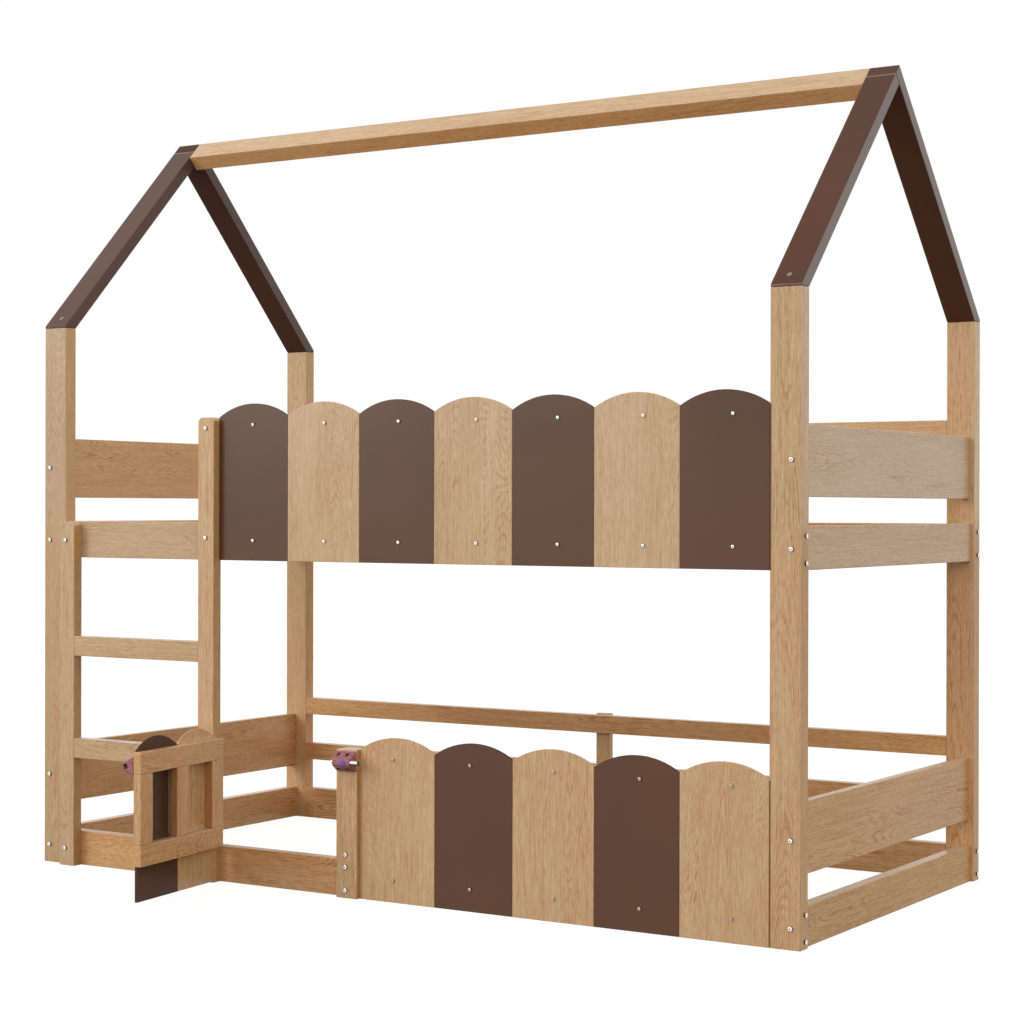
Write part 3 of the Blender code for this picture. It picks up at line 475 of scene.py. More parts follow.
def oak_group():
    """The oak's grain, in a board's own coordinates: X across its face, Y through it, Z along it."""
    tree = bpy.data.node_groups.new("oak_grain", "ShaderNodeTree")
    for name, kind in (("Place", "Vector"), ("Board", "Float"), ("Stave", "Float"), ("Length", "Float"),
                       ("Ring", "Float"), ("Tint", "Color"), ("Edge", "Float"), ("Edge Tint", "Color"),
                       ("Height", "Float"), ("Strength", "Float")):
        tree.interface.new_socket(name, in_out="INPUT", socket_type="NodeSocket" + kind)
    for name, kind in (("Color", "Color"), ("Grain", "Float"), ("Roughness", "Float")):
        tree.interface.new_socket(name, in_out="OUTPUT", socket_type="NodeSocket" + kind)
    given = tree.nodes.new("NodeGroupInput").outputs
    board = given["Board"]
    shift = join(tree, *[product(tree, board, step) for step in BOARD_STEPS])
    place = calc_vector(tree, "ADD", given["Place"], shift)
    across, through, along = split(tree, given["Place"])

    # Staves glued side by side and finger-jointed end to end, each length cut from a tree of its own
    in_staves = total(tree, calc(tree, "DIVIDE", across, given["Stave"]), 0.5)
    stave = calc(tree, "FLOOR", in_staves)
    start = white_noise(tree, Vector=join(tree, stave, board))
    in_lengths = total(tree, calc(tree, "DIVIDE", along, given["Length"]), start)
    length = calc(tree, "FLOOR", in_lengths)
    in_length = from_middle(tree, in_lengths, given["Length"])
    in_stave = from_middle(tree, in_staves, given["Stave"])
    piece = join(tree, stave, board, length)
    drawn = white_noise(tree, "Color", Vector=piece)
    chance_1, chance_2, chance_3 = add_node(tree, "ShaderNodeSeparateColor", {0: drawn}).outputs
    chance_4 = white_noise(tree, Vector=times(tree, piece, SECOND_DRAW_SCALES))

    # Growth rings, read as the distance from the tree's middle, which leans and wanders along the board
    wander = noise(tree, place, *WANDER_NOISE, output=1)
    wander_aside, wander_behind, _ = add_node(tree, "ShaderNodeSeparateColor", {0: wander}).outputs
    far_aside = ramp(tree, chance_4, *FAR_PITH_CHANCES, 0.0, FAR_PITH_ASIDE, False)
    aside = total(tree, swing(tree, chance_1, PITH_ASIDE), far_aside)
    from_pith = total(tree, in_stave, aside, swing(tree, wander_aside, WANDER_ASIDE))
    lean = product(tree, swing(tree, chance_3, PITH_LEAN), in_length)
    depth = pick(tree, chance_2, *PITH_DEPTHS)
    behind = total(tree, through, depth, lean, swing(tree, wander_behind, WANDER_DEPTH))
    squares = total(tree, product(tree, from_pith, from_pith), product(tree, behind, behind))
    waver = total(tree, swing(tree, noise(tree, place, *WAVER_NOISE), RING_WAVER),
                  swing(tree, noise(tree, place, *FINE_WAVER_NOISE), FINE_RING_WAVER))
    ring = total(tree, calc(tree, "DIVIDE", calc(tree, "SQRT", squares), given["Ring"]), waver)
    in_ring = calc(tree, "FRACT", ring)
    year = total(tree, calc(tree, "FLOOR", ring), product(tree, board, YEAR_STEP))
    early = calc(tree, "MAXIMUM", ramp(tree, in_ring, 0.0, EARLY_END, 1.0, 0.0),
                 ramp(tree, in_ring, EARLY_START, 1.0, 0.0, 1.0))
    shown = ramp(tree, noise(tree, place, *PATCH_NOISE), *PATCH_RANGE, PATCH_LOW, 1.0)
    early = product(tree, early, pick(tree, white_noise(tree, W=year), WEAK_YEAR, 1.0), shown)

    # Pores, fibres, slow changes of tone and pale flecks
    pores = ramp(tree, noise(tree, place, *PORE_NOISE), *PORE_RANGE, 0.0, 1.0)
    fleck = ramp(tree, noise(tree, place, *FLECK_NOISE), *FLECK_RANGE, 0.0, 1.0)
    in_pores = total(tree, product(tree, early, EARLY_PORE_DARKNESS), PORE_DARKNESS)
    dark = total(tree, product(tree, early, EARLY_DARKNESS), GROUND_DARKNESS, product(tree, pores, in_pores))
    for kind, amount in ((FIBRE_NOISE, FIBRE_CONTRAST), (DASH_NOISE, DASH_CONTRAST),
                         (STREAK_NOISE, STREAK_CONTRAST), (TONE_NOISE, TONE_CONTRAST)):
        wave = ramp(tree, noise(tree, place, *kind), *NOISE_RANGE, -amount, amount, False)
        dark = total(tree, dark, wave)
    dark = total(tree, dark, pick(tree, chance_3, *PIECE_CONTRASTS))
    dark = calc(tree, "SUBTRACT", dark, product(tree, fleck, FLECK_PALENESS))
    dark = calc(tree, "MULTIPLY_ADD", calc(tree, "SUBTRACT", dark, OAK_MIDDLE), given["Strength"], OAK_MIDDLE)
    dark = add_node(tree, "ShaderNodeClamp", {0: dark}).outputs[0]

    # Tints of the board: painted shade and sheen on its narrow sides, painted sheen on its top and warm
    # painted shade on its underside
    sheen_on_top = ramp(tree, given["Height"], *TOP_TINT_SLOPES, 0.0, 1.0)
    under_shade = ramp(tree, given["Height"], *UNDER_TINT_SLOPES, 1.0, 0.0)
    tint = given["Tint"]
    for share, own in ((given["Edge"], given["Edge Tint"]), (sheen_on_top, TOP_SHEEN_TINT), (under_shade, UNDER_SHADE_TINT)):
        tint = times(tree, tint, mix_colour(tree, share, PLAIN, own))
    colour = times(tree, mix_colour(tree, dark, OAK_LIGHT, OAK_DARK), tint)
    grain = total(tree, product(tree, early, EARLY_RELIEF), product(tree, pores, PORE_RELIEF))
    roughness = pick(tree, dark, *OAK_ROUGHNESS)
    add_node(tree, "NodeGroupOutput", {"Color": colour, "Grain": grain, "Roughness": roughness})
    return tree


def face_height(tree):
    """How far a face looks up: 1 on a top, 0 on a side and -1 on an underside."""
    return split(tree, coordinate(tree, "Normal"))[2]


def sheen(tree, shader, level, under_share=UNDERSIDE_SHEEN_SHARE, slope_share=1.0, top_share=1.0):
    """Gloss that differs on undersides, on slopes and on tops, as shares of its level on the sides."""
    height = face_height(tree)
    gloss = product(tree, ramp(tree, height, *UNDER_SHEEN_SLOPES, level * under_share, level),
                    ramp(tree, height, *ROOF_SHEEN_SLOPES, 1.0, slope_share),
                    ramp(tree, height, *TOP_SHEEN_SLOPES, 1.0, top_share))
    feed(tree, shader, "Specular IOR Level", gloss)


def oak_material(name, centre, turn, board, staves, tint=PLAIN, ring=RING_WIDTH, level=OAK_SHEEN,
                 strength=1.0, sheen_top=True):
    """Oak for one board, or for pieces alike.

    turn holds the board's own axes as columns. board numbers its cut, and staves gives the width and
    length of what it is glued from. The last flag adds a painted sheen tint and the gloss of its top.
    """
    material, tree, shader = new_material("oak_" + name)
    place, normal = coordinate(tree, "Object"), coordinate(tree, "Normal")
    mapped = {"Vector": place, "Location": centre, "Rotation": turn.to_euler()}
    local = add_node(tree, "ShaderNodeMapping", mapped, vector_type="TEXTURE").outputs[0]
    height = face_height(tree)
    sideways = ramp(tree, calc(tree, "ABSOLUTE", dot(tree, normal, turn.col[0])), *EDGE_FACINGS, 0.0, 1.0)
    upright = ramp(tree, calc(tree, "ABSOLUTE", height), *UPRIGHT_SLOPES, 1.0, 0.0)
    inputs = {"Place": local, "Board": board, "Stave": staves[0], "Length": staves[1], "Ring": ring,
              "Tint": tint, "Edge": product(tree, sideways, upright),
              "Edge Tint": SIDE_LIGHT_TINTS.get(name, SIDE_SHADE_TINT), "Height": height if sheen_top else 0.0,
              "Strength": strength}
    grain = add_node(tree, "ShaderNodeGroup", inputs, node_tree=OAK).outputs
    colour = grain["Color"]
    # A painted shadow of the gap where the panels meet this post
    if name == "post_front_right":
        colour = times(tree, colour, mix_colour(tree, joint_shade(tree, place, normal), PLAIN, JOINT_SHADOW_TINT))
    # Painted light and sheen on the post above the bunks
    if name in HIGH_LIGHT_TINTS:
        tints = mix_colour(tree, sideways, *HIGH_LIGHT_TINTS[name])
        high = ramp(tree, split(tree, place)[2], *HIGH_HEIGHTS, 0.0, 1.0)
        colour = times(tree, colour, mix_colour(tree, high, PLAIN, tints))
    feed(tree, shader, "Base Color", colour)
    feed(tree, shader, "Roughness", grain["Roughness"])
    sheen(tree, shader, level, top_share=TOP_SHEEN_SHARE if sheen_top else 1.0)
    bump(tree, shader, calc(tree, "SUBTRACT", 1.0, grain["Grain"]), *OAK_BUMP)
    return material


def joint_shade(tree, place, normal):
    """1 in the narrow gap at the front right post's left edge, where the panels meet it."""
    across, _, height = split(tree, place)
    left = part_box("post_front_right")[0].x
    beside = ramp(tree, across, left + JOINT_WIDTH * JOINT_CORE_SHARE, left + JOINT_WIDTH, 1.0, 0.0)
    lower = calc(tree, "LESS_THAN", height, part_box("lower_batten")[1].z)
    upper = product(tree, calc(tree, "GREATER_THAN", height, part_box("upper_panel_7")[0].z),
                    calc(tree, "LESS_THAN", height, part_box("upper_batten")[1].z))
    in_front = calc(tree, "LESS_THAN", split(tree, normal)[1], FRONT_FACING)
    return product(tree, beside, calc(tree, "MAXIMUM", lower, upper), in_front)


def paint_material(name, colour, level=PAINT_SHEEN, under_share=UNDERSIDE_SHEEN_SHARE,
                   slope_share=SLOPE_SHEEN_SHARE, line=None, reveal=None):
    """Satin chocolate paint over wood, whose grain shows through a little.

    line, if given, is the height above which the slope has a painted highlight, a pale line where another
    rafter meets it.
    reveal, if given, is the place along the open gate of a recess's wall, which gets a painted highlight.
    """
    material, tree, shader = new_material(name)
    place = coordinate(tree, "Object")
    cloud = ramp(tree, noise(tree, place, *PAINT_CLOUD_NOISE), *SURFACE_RANGE, 0.0, 1.0)
    shade = mix_colour(tree, cloud, scaled(colour, PAINT_LIGHT_SHARE), scaled(colour, PAINT_DARK_SHARE))
    # A painted highlight along the line where another rafter meets the slope
    if line:
        in_highlight = product(tree, calc(tree, "GREATER_THAN", split(tree, place)[2], line),
                          calc(tree, "GREATER_THAN", face_height(tree), ROOF_FACING))
        shade = mix_colour(tree, in_highlight, shade, JOINT_HIGHLIGHT_PAINT)
    # A painted highlight on the recess's wall
    if reveal:
        shade = mix_colour(tree, recess_wall(tree, place, reveal), shade, REVEAL_HIGHLIGHT_PAINT)
    feed(tree, shader, "Base Color", shade)
    sheen(tree, shader, level, under_share, slope_share)
    fine = noise(tree, place, *PAINT_FINE_NOISE)
    feed(tree, shader, "Roughness", ramp(tree, fine, *SURFACE_RANGE, *PAINT_ROUGHNESS, False))
    grain = product(tree, noise(tree, place, *PAINT_GRAIN_NOISE), PAINT_GRAIN_SHARE)
    bump(tree, shader, total(tree, fine, grain), *PAINT_BUMP)
    return material


def recess_wall(tree, place, reveal):
    """1 on the wall that closes the gate panel's recess at the given place along the gate."""
    along = GATE_MATRIX @ X_AXIS
    beyond = calc(tree, "SUBTRACT", dot(tree, place, along), reveal + HINGE_AXIS.dot(along))
    facing = dot(tree, coordinate(tree, "Normal"), along)
    return product(tree, calc(tree, "LESS_THAN", calc(tree, "ABSOLUTE", beyond), REVEAL_DEPTH),
                   calc(tree, "GREATER_THAN", facing, WALL_FACING))


def plastic_material(name, light, dark, scale, roughness, grain_distance, wells=()):
    """Moulded plastic, speckled between two colours, with painted shade in its wells, which run along Y, and,
    where wells are given, on its underside.
    """
    material, tree, shader = new_material(name)
    place = coordinate(tree, "Object")
    speckle = noise(tree, place, (scale, scale, scale), *SPECKLE_DETAIL)
    colour = mix_colour(tree, ramp(tree, speckle, *SPECKLE_RANGE, 0.0, 1.0), light, dark)
    if wells:
        under_shade = ramp(tree, face_height(tree), *LOCK_UNDER_SLOPES, 1.0, 0.0)
        colour = times(tree, colour, mix_colour(tree, under_shade, PLAIN, LOCK_UNDER_SHADE))
    rim = LOCK_WELL_RADIUS * LOCK_WELL_RIM_SHARE
    for x, z in wells:
        away = calc_vector(tree, "DISTANCE", times(tree, place, (1.0, 0.0, 1.0)), (x, 0.0, z), output=1)
        outside = ramp(tree, away, LOCK_WELL_RADIUS, rim, 0.0, 1.0)
        colour = mix_colour(tree, outside, WELL_SHADE, colour)
    feed(tree, shader, "Base Color", colour)
    feed(tree, shader, "Roughness", roughness)
    bump(tree, shader, noise(tree, place, *PLASTIC_NOISE), grain_distance, PLASTIC_BUMP_STRENGTH)
    return material


def steel_material(name, colour, roughness, brush=EVEN_BRUSH, under_shade=None):
    """Metal, brushed along the axis that has the smallest number in brush, or evenly.

    The colour for its underside, if given, is its painted shade below and on its ends along X.
    """
    material, tree, shader = new_material(name)
    place = coordinate(tree, "Object")
    if under_shade:
        end, _, height = split(tree, coordinate(tree, "Normal"))
        below = ramp(tree, height, *STEEL_UNDER_SLOPES, 1.0, 0.0)
        at_end = ramp(tree, calc(tree, "ABSOLUTE", end), *STEEL_END_FACINGS, 0.0, STEEL_END_SHARE)
        colour = mix_colour(tree, calc(tree, "MAXIMUM", below, at_end), colour, under_shade)
    feed(tree, shader, "Base Color", colour)
    feed(tree, shader, "Metallic", 1.0)
    lines = noise(tree, place, brush)
    low, high = (roughness * share for share in ROUGHNESS_SPREAD)
    feed(tree, shader, "Roughness", ramp(tree, lines, *SURFACE_RANGE, low, high, False))
    bump(tree, shader, lines, *STEEL_BUMP)
    return material


def webbing_material():
    """Woven strap, in a herringbone that runs along X."""
    material, tree, shader = new_material("webbing")
    inputs = {"Vector": coordinate(tree, "Object"), "Scale": WEFT_SCALE, "Distortion": WEAVE_DISTORTION,
              "Detail": 1.0, "Detail Scale": 2.0}
    weft = add_node(tree, "ShaderNodeTexWave", inputs, bands_direction="X").outputs[1]
    inputs["Scale"] = WARP_SCALE
    warp = add_node(tree, "ShaderNodeTexWave", inputs, bands_direction="Y").outputs[1]
    weave = product(tree, weft, warp)
    feed(tree, shader, "Base Color", mix_colour(tree, weave, scaled(WEBBING, WEBBING_DARK_SHARE), WEBBING))
    feed(tree, shader, "Roughness", WEBBING_ROUGHNESS)
    bump(tree, shader, weave, *WEBBING_BUMP)
    return material


def axes(across, through, along):
    """A rotation whose columns are a board's own axes."""
    return Matrix((across, through, along)).transposed()


def oak_groups():
    """By the starts of names: a board's axes, what it is glued from and its tint, for some boards painted
    light and shade. The first match holds.
    """
    x, y, z = X_AXIS, Y_AXIS, Z_AXIS
    slope = Vector((0, 1, 1)).normalized()
    upright = axes(x, y, z)
    lying_x = axes(z, -y, x)
    lying_y = axes(z, x, y)
    gate_upright = axes(GATE_MATRIX @ x, GATE_MATRIX @ y, z)
    gate_lying = axes(z, -(GATE_MATRIX @ y), GATE_MATRIX @ x)
    beam = axes(slope, x.cross(slope), x)
    return (
        (("post_front_left", "ladder_upright_left"), upright, SOLID, COOL),
        (("post_back_left",), upright, SOLID, PAINTED_LIGHT_LIFT),
        (("post_back_right",), upright, SOLID, SUNLIT),
        (("post_", "latch_post", "back_centre_post", "ladder_upright"), upright, SOLID, PLAIN),
        (("ladder_rung",), lying_x, GLUED, COOL),
        (("upper_panel",), upright, GLUED, PALE),
        (("lower_panel",), upright, GLUED, PLAIN),
        (("upper_rail_front",), lying_x, GLUED, FAINT),
        (("upper_rail_back", "lower_rail_back", "back_thin", "lower_batten", "lower_rail_front"), lying_x,
         GLUED, WARM_SHADE),
        (("upper_guard_back", "upper_batten"), lying_x, GLUED, PLAIN),
        (("upper_rail_right",), lying_y, GLUED, MUTED),
        (("upper_rail_left", "upper_guard_left"), lying_y, GLUED, PLAIN),
        (("upper_guard_right",), lying_y, GLUED, CHALKY_SHEEN),
        (("lower_guard_left", "lower_rail_left"), lying_y, GLUED, WARM_BOUNCE_LIGHT),
        (("lower_guard_right", "lower_rail_right"), lying_y, GLUED, LOW_WARM_SHADE),
        (("ridge_beam",), beam, SOLID, SHADED),
        (("gate_rail",), gate_lying, SOLID, MILD),
        (("gate_panel",), gate_upright, SOLID, SOFT),
        (("gate_hinge_stile", "gate_mullion", "gate_latch_stile"), gate_upright, SOLID, GOLDEN),
    )


def first_match(name, table):
    """What the table gives for the first of its keys that starts the name, or None."""
    return next((given for start, given in table.items() if name.startswith(start)), None)


def paint_nodes():
    """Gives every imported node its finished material."""
    groups = oak_groups()
    slots = {part["node"]: part["material_slot"] for part in frame["record"]["subparts"]}
    for number, (name, node) in enumerate(sorted(frame["nodes"].items())):
        if name == "slat_mat":
            continue
        if slots[name] == "brown_paint":
            material = first_match(name, PAINTS)
        elif name == "lock_bolt":
            material = BOLT_STEEL
        elif slots[name] in SLOT_MATERIALS:
            material = SLOT_MATERIALS[slots[name]]
        else:
            turn, staves, tint = next(group[1:] for group in groups if name.startswith(group[0]))
            level = OAK_SHEENS.get(name, POST_SHEEN if name.startswith("post_") else OAK_SHEEN)
            strength = first_match(name, GRAIN_STRENGTHS) or 1.0
            material = oak_material(name, middle(name), turn, number + 1.0, staves, tint, level=level,
                                    strength=strength)
        node.material_slots[0].material = material


def add_block(shape, low, high, edge):
    """Adds a box with rounded edges."""
    low, high = Vector(low), Vector(high)
    corners = bmesh.ops.create_cube(shape, size=1.0)["verts"]
    bmesh.ops.scale(shape, vec=high - low, verts=corners)
    bmesh.ops.translate(shape, vec=(low + high) / 2, verts=corners)
    edges = list(dict.fromkeys(side for corner in corners for side in corner.link_edges))
    bmesh.ops.bevel(shape, geom=edges, offset=edge, segments=EDGE_SEGMENTS, profile=0.5, affect="EDGES")


def add_piece(name, shape, body, slot_name, *materials):
    """Makes the shape an object that rides on a body, and smooths its round faces."""
    mesh = bpy.data.meshes.new(name)
    bmesh.ops.recalc_face_normals(shape, faces=shape.faces)
    shape.to_mesh(mesh)
    shape.free()
    for material in materials:
        mesh.materials.append(material)
    mesh.shade_smooth()
    mesh.set_sharp_from_angle(angle=SMOOTH_ANGLE)
    piece = bpy.data.objects.new(name, mesh)
    bpy.context.scene.collection.objects.link(piece)
    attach(piece, body)
    return piece


def slat_pitch(low, high):
    return (high.x - low.x - SLAT_WIDTH) / (SLAT_COUNT - 1)


def make_slats():
    """Slats with rounded edges, each a stave of the oak's grain with a cut of its own."""
    low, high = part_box("slat_mat")
    pitch = slat_pitch(low, high)
    shape = bmesh.new()
    for index in range(SLAT_COUNT):
        left = low.x + index * pitch
        corner = (left + SLAT_WIDTH, high.y, low.z + SLAT_THICKNESS)
        add_block(shape, (left, low.y, low.z), corner, SLAT_EDGE)
    turn = axes(X_AXIS, -Z_AXIS, Y_AXIS)
    centre = Vector(((low.x + high.x) / 2, (low.y + high.y) / 2, low.z + SLAT_THICKNESS / 2))
    wood = oak_material("slats", centre, turn, SLAT_BOARD, (pitch, SLAT_STAVE_LENGTH), sheen_top=False)
    slats = add_piece("slats", shape, "bed_frame", "oak", wood)
    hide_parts("slat_mat")


def strap_line(start, pitch, top):
    """The X and Z of a strap's underside, along the slats and the dips between them."""
    half_gap = (pitch - SLAT_WIDTH) / 2
    line = []
    for step in range(2 * STRAP_STEPS * (SLAT_COUNT - 1) + 1):
        run = step / (2 * STRAP_STEPS)
        in_gap = (abs(run - math.floor(run) - 0.5) * pitch - half_gap) / half_gap
        line.append((start + run * pitch, top - STRAP_SAG * min(0.0, in_gap) ** 2))
    return line


def make_straps():
    """Woven straps that run over the slats, dip a little between them and are stapled to each."""
    low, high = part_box("slat_mat")
    pitch = slat_pitch(low, high)
    start = low.x + SLAT_WIDTH / 2
    top = low.z + SLAT_THICKNESS
    line = strap_line(start, pitch, top)
    half_staple = Vector(STAPLE_SIZE) / 2
    edge = STAPLE_SIZE[2] * STAPLE_EDGE_SHARE
    straps, staples = bmesh.new(), bmesh.new()
    for share in STRAP_SHARES:
        y = (low.y + high.y) / 2 + share * (high.y - low.y) / 2
        rings = []
        for x, z in line:
            rings.append([straps.verts.new((x, y + across * STRAP_WIDTH / 2, z + up * STRAP_THICKNESS))
                          for across, up in STRAP_SECTION])
        for one, other in zip(rings, rings[1:]):
            for index in range(len(STRAP_SECTION)):
                straps.faces.new((one[index - 1], one[index], other[index], other[index - 1]))
        straps.faces.new(rings[0])
        straps.faces.new(reversed(rings[-1]))
        for index in range(SLAT_COUNT):
            for side in (-1, 1):
                x = start + index * pitch + side * STAPLE_SPREAD
                centre = Vector((x, y, top + STRAP_THICKNESS + half_staple.z / 2))
                add_block(staples, centre - half_staple, centre + half_staple, edge)
    add_piece("slat_straps", straps, "bed_frame", "oak", STRAP)
    add_piece("slat_staples", staples, "bed_frame", "steel", SCREWS)


def head_turns():
    """The turns of an outline's points. The first one is at a cross's corner."""
    return [math.tau * (index / HEAD_SIDES - 1 / 8) for index in range(HEAD_SIDES)]


def round_outline():
    return [(math.cos(turn), math.sin(turn)) for turn in head_turns()]


def hexagon_outline():
    """A hexagon whose corners lie on the unit circle."""
    half_side = math.pi / 6
    points = []
    for turn in head_turns():
        off = (turn + half_side) % (2 * half_side) - half_side
        size = math.cos(half_side) / math.cos(half_side - abs(off))
        points.append((size * math.cos(turn), size * math.sin(turn)))
    return points


def cross_outline():
    """A cross with four arms, in shares of its half length."""
    points = []
    side = CROSS_WIDTH_SHARE
    arm = ((side, -side), (0.65, -side), (1.0, -side), (1.04, 0.0), (1.0, side), (0.65, side))
    for quarter in range(4):
        turn = Matrix.Rotation(quarter * math.pi / 2, 2)
        points += [tuple(turn @ Vector(point)) for point in arm]
    return points


def domed_bolt():
    """A domed bolt head with a hexagon socket, 10 mm across, on a collar in painted shadow, with painted
    shade in its socket.
    """
    dome, socket = round_outline(), hexagon_outline()
    return ((dome, 0.0050, HEAD_SINK, SHOWN), (dome, 0.0050, 0.0030, IN_SHADE), (dome, 0.0048, 0.0036, SHOWN),
            (dome, 0.0041, 0.0043, SHOWN), (dome, 0.0030, 0.0047, SHOWN), (socket, 0.0017, 0.0048, SHOWN),
            (socket, 0.0015, 0.0026, IN_SHADE))


def pan_screw(size=PAN_SCREW_SIZE):
    """A pan head with a cross recess, with painted shade on its skirt and in its recess."""
    pan, cross = round_outline(), cross_outline()
    return ((pan, size, HEAD_SINK, SHOWN), (pan, size, size * 0.62, IN_SHADE),
            (pan, size * 0.93, size * 0.78, SHOWN), (pan, size * 0.76, size * 0.90, SHOWN),
            (pan, size * 0.56, size * 0.96, SHOWN), (cross, size * 0.42, size * 0.97, SHOWN),
            (cross, size * 0.28, size * 0.60, IN_SHADE))


def flat_screw(size, height):
    """A sunk head that stands the given height above what it holds, with a cross recess in painted shade."""
    disc, cross = round_outline(), cross_outline()
    return ((disc, size, HEAD_SINK, SHOWN), (disc, size, height * 0.5, SHOWN),
            (disc, size * 0.94, height, SHOWN), (cross, size * 0.56, height, SHOWN),
            (cross, size * 0.46, height * 0.2, IN_SHADE))


def dowel_end():
    """The end of a dowel, a little proud with a worn rim."""
    disc = round_outline()
    return ((disc, 0.0050, HEAD_SINK, SHOWN), (disc, 0.0050, 0.0002, SHOWN), (disc, 0.0046, 0.0005, SHOWN),
            (disc, 0.0025, 0.0006, SHOWN))


def add_heads(shape, rings, places, draws):
    """Adds a head at each place, a point and the direction that the head faces, turned at random."""
    for point, facing in places:
        turn = facing.to_track_quat("Z", "Y").to_matrix().to_4x4()
        spot = Matrix.Translation(point) @ turn @ Matrix.Rotation(draws.uniform(0, math.tau), 4, "Z")
        outer = None
        for outline, size, height, finish in rings:
            ring = [shape.verts.new(spot @ Vector((size * x, size * y, height))) for x, y in outline]
            if outer is None:
                shape.faces.new(reversed(ring))
            else:
                for index in range(HEAD_SIDES):
                    face = shape.faces.new((outer[index - 1], outer[index], ring[index], ring[index - 1]))
                    face.material_index = finish
            outer = ring
        shape.faces.new(outer).material_index = finish


def middle(name):
    low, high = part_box(name)
    return (low + high) / 2


def post_bolt_places():
    """Bolts through the posts into the end rails, and pairs through their sides into the long rails."""
    places = []
    for side, name, x in ((-1, "left", POST_BOLT_X[0]), (1, "right", POST_BOLT_X[1])):
        for depth, facing in (("front", -Y_AXIS), ("back", Y_AXIS)):
            low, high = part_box(f"post_{depth}_{name}")
            face_y = low.y if depth == "front" else high.y
            places += [(Vector((x, face_y, z)), facing) for z in POST_BOLT_HEIGHTS]
            face_x = low.x if side < 0 else high.x
            y = (low.y + high.y) / 2 + BOLT_BEHIND_MIDDLE
            places += [(Vector((face_x, y, z)), side * X_AXIS) for z in SIDE_BOLT_HEIGHTS]
    return places


def panel_screw_places(row, columns, heights):
    """One screw near each front panel's top and one near its foot."""
    places = []
    for index, x in enumerate(columns):
        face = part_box(f"{row}_panel_{index + 1}")[0].y
        places += [(Vector((x, face, z)), -Y_AXIS) for z in heights]
    return places


def frame_screw_places():
    """Screws in the ladder's uprights, the latch post and the post behind the thin rails."""
    places = []
    for name, x, heights in UPRIGHT_SCREWS:
        places += [(Vector((x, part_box(name)[0].y, z)), -Y_AXIS) for z in heights]
    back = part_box("back_centre_post")[1].y
    for name in ("lower_rail_back", "back_thin_rail_1", "back_thin_rail_2"):
        places.append((Vector((middle("back_centre_post").x, back, middle(name).z)), Y_AXIS))
    return places


def outer_face(rafter):
    """The face of a rafter that slopes up and out."""
    tops = [face for face in frame["nodes"][rafter].data.polygons if face.normal.z > ROOF_FACING]
    return max(tops, key=lambda face: face.area)


def front_slope_top():
    """The height at which the front rafters meet the back ones."""
    name = "rafter_front_right"
    return max(frame["nodes"][name].data.vertices[corner].co.z for corner in outer_face(name).vertices)


def rafter_screw_places():
    """A sunk screw near the foot of each rafter, square to its outer face."""
    places = []
    for depth, sign in (("front", -1), ("back", 1)):
        y = MIDDLE_Y - sign * (RAFTER_SCREW_Y - MIDDLE_Y)
        for side in ("left", "right"):
            outer = outer_face(f"rafter_{depth}_{side}")
            square = outer.normal.copy()
            spot = Vector((RAFTER_SCREW_X[side], y, RAFTER_SCREW_Z))
            places.append((spot + square * (outer.center - spot).dot(square), square))
    return places


def gate_place(point):
    """A point of the shut gate, where the open gate has it."""
    return HINGE_AXIS + GATE_MATRIX @ (Vector(point) - HINGE_AXIS)


def shut_box(name):
    """The lowest and highest corners of a piece of the gate, with the gate shut."""
    back = Matrix.Rotation(-GATE_TURN, 3, "Z")
    corners = [HINGE_AXIS + back @ (corner.co - HINGE_AXIS) for corner in frame["nodes"][name].data.vertices]
    low = Vector(min(corner[axis] for corner in corners) for axis in range(3))
    high = Vector(max(corner[axis] for corner in corners) for axis in range(3))
    return low, high


def gate_screw_places():
    """A screw through each of the gate's panels into its lower rail and one into its upper rail."""
    outward = GATE_MATRIX @ -Y_AXIS
    places = []
    for name in ("gate_panel_1", "gate_panel_2"):
        low, high = shut_box(name)
        for rail in ("gate_rail_bottom", "gate_rail_top"):
            place = ((low.x + high.x) / 2, low.y, middle(rail).z)
            places.append((gate_place(place), outward))
    return places


def lock_wells():
    """The X and Z of the lock's four screw wells."""
    low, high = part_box("lock_body")
    middle_z = (low.z + high.z) / 2
    return [(low.x + share * (high.x - low.x), middle_z + side * LOCK_SCREW_HEIGHT)
            for share in LOCK_SCREW_X_SHARES for side in (-1, 1)]


def lock_screw_places():
    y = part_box("lock_body")[1].y - LOCK_WELL_DEPTH
    return [(Vector((x, y, z)), -Y_AXIS) for x, z in lock_wells()]


def leaf_screw_places(on_gate):
    """Three sunk screws in each hinge's leaf on the gate or on the ladder, where it meets the other leaf."""
    places = []
    for hinge in ("lower", "upper"):
        low, high = shut_box(f"hinge_{hinge}_gate_leaf") if on_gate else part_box(f"hinge_{hinge}_fixed_leaf")
        y = low.y + LEAF_SCREW_DEPTH_SHARE * (high.y - low.y)
        for share in LEAF_SCREW_SHARES:
            spot = Vector((HINGE_AXIS.x, y, low.z + share * (high.z - low.z)))
            if on_gate:
                places.append((gate_place(spot + X_AXIS * LEAF_FACE_GAP), GATE_MATRIX @ -X_AXIS))
            else:
                places.append((spot - X_AXIS * LEAF_FACE_GAP, X_AXIS))
    return places


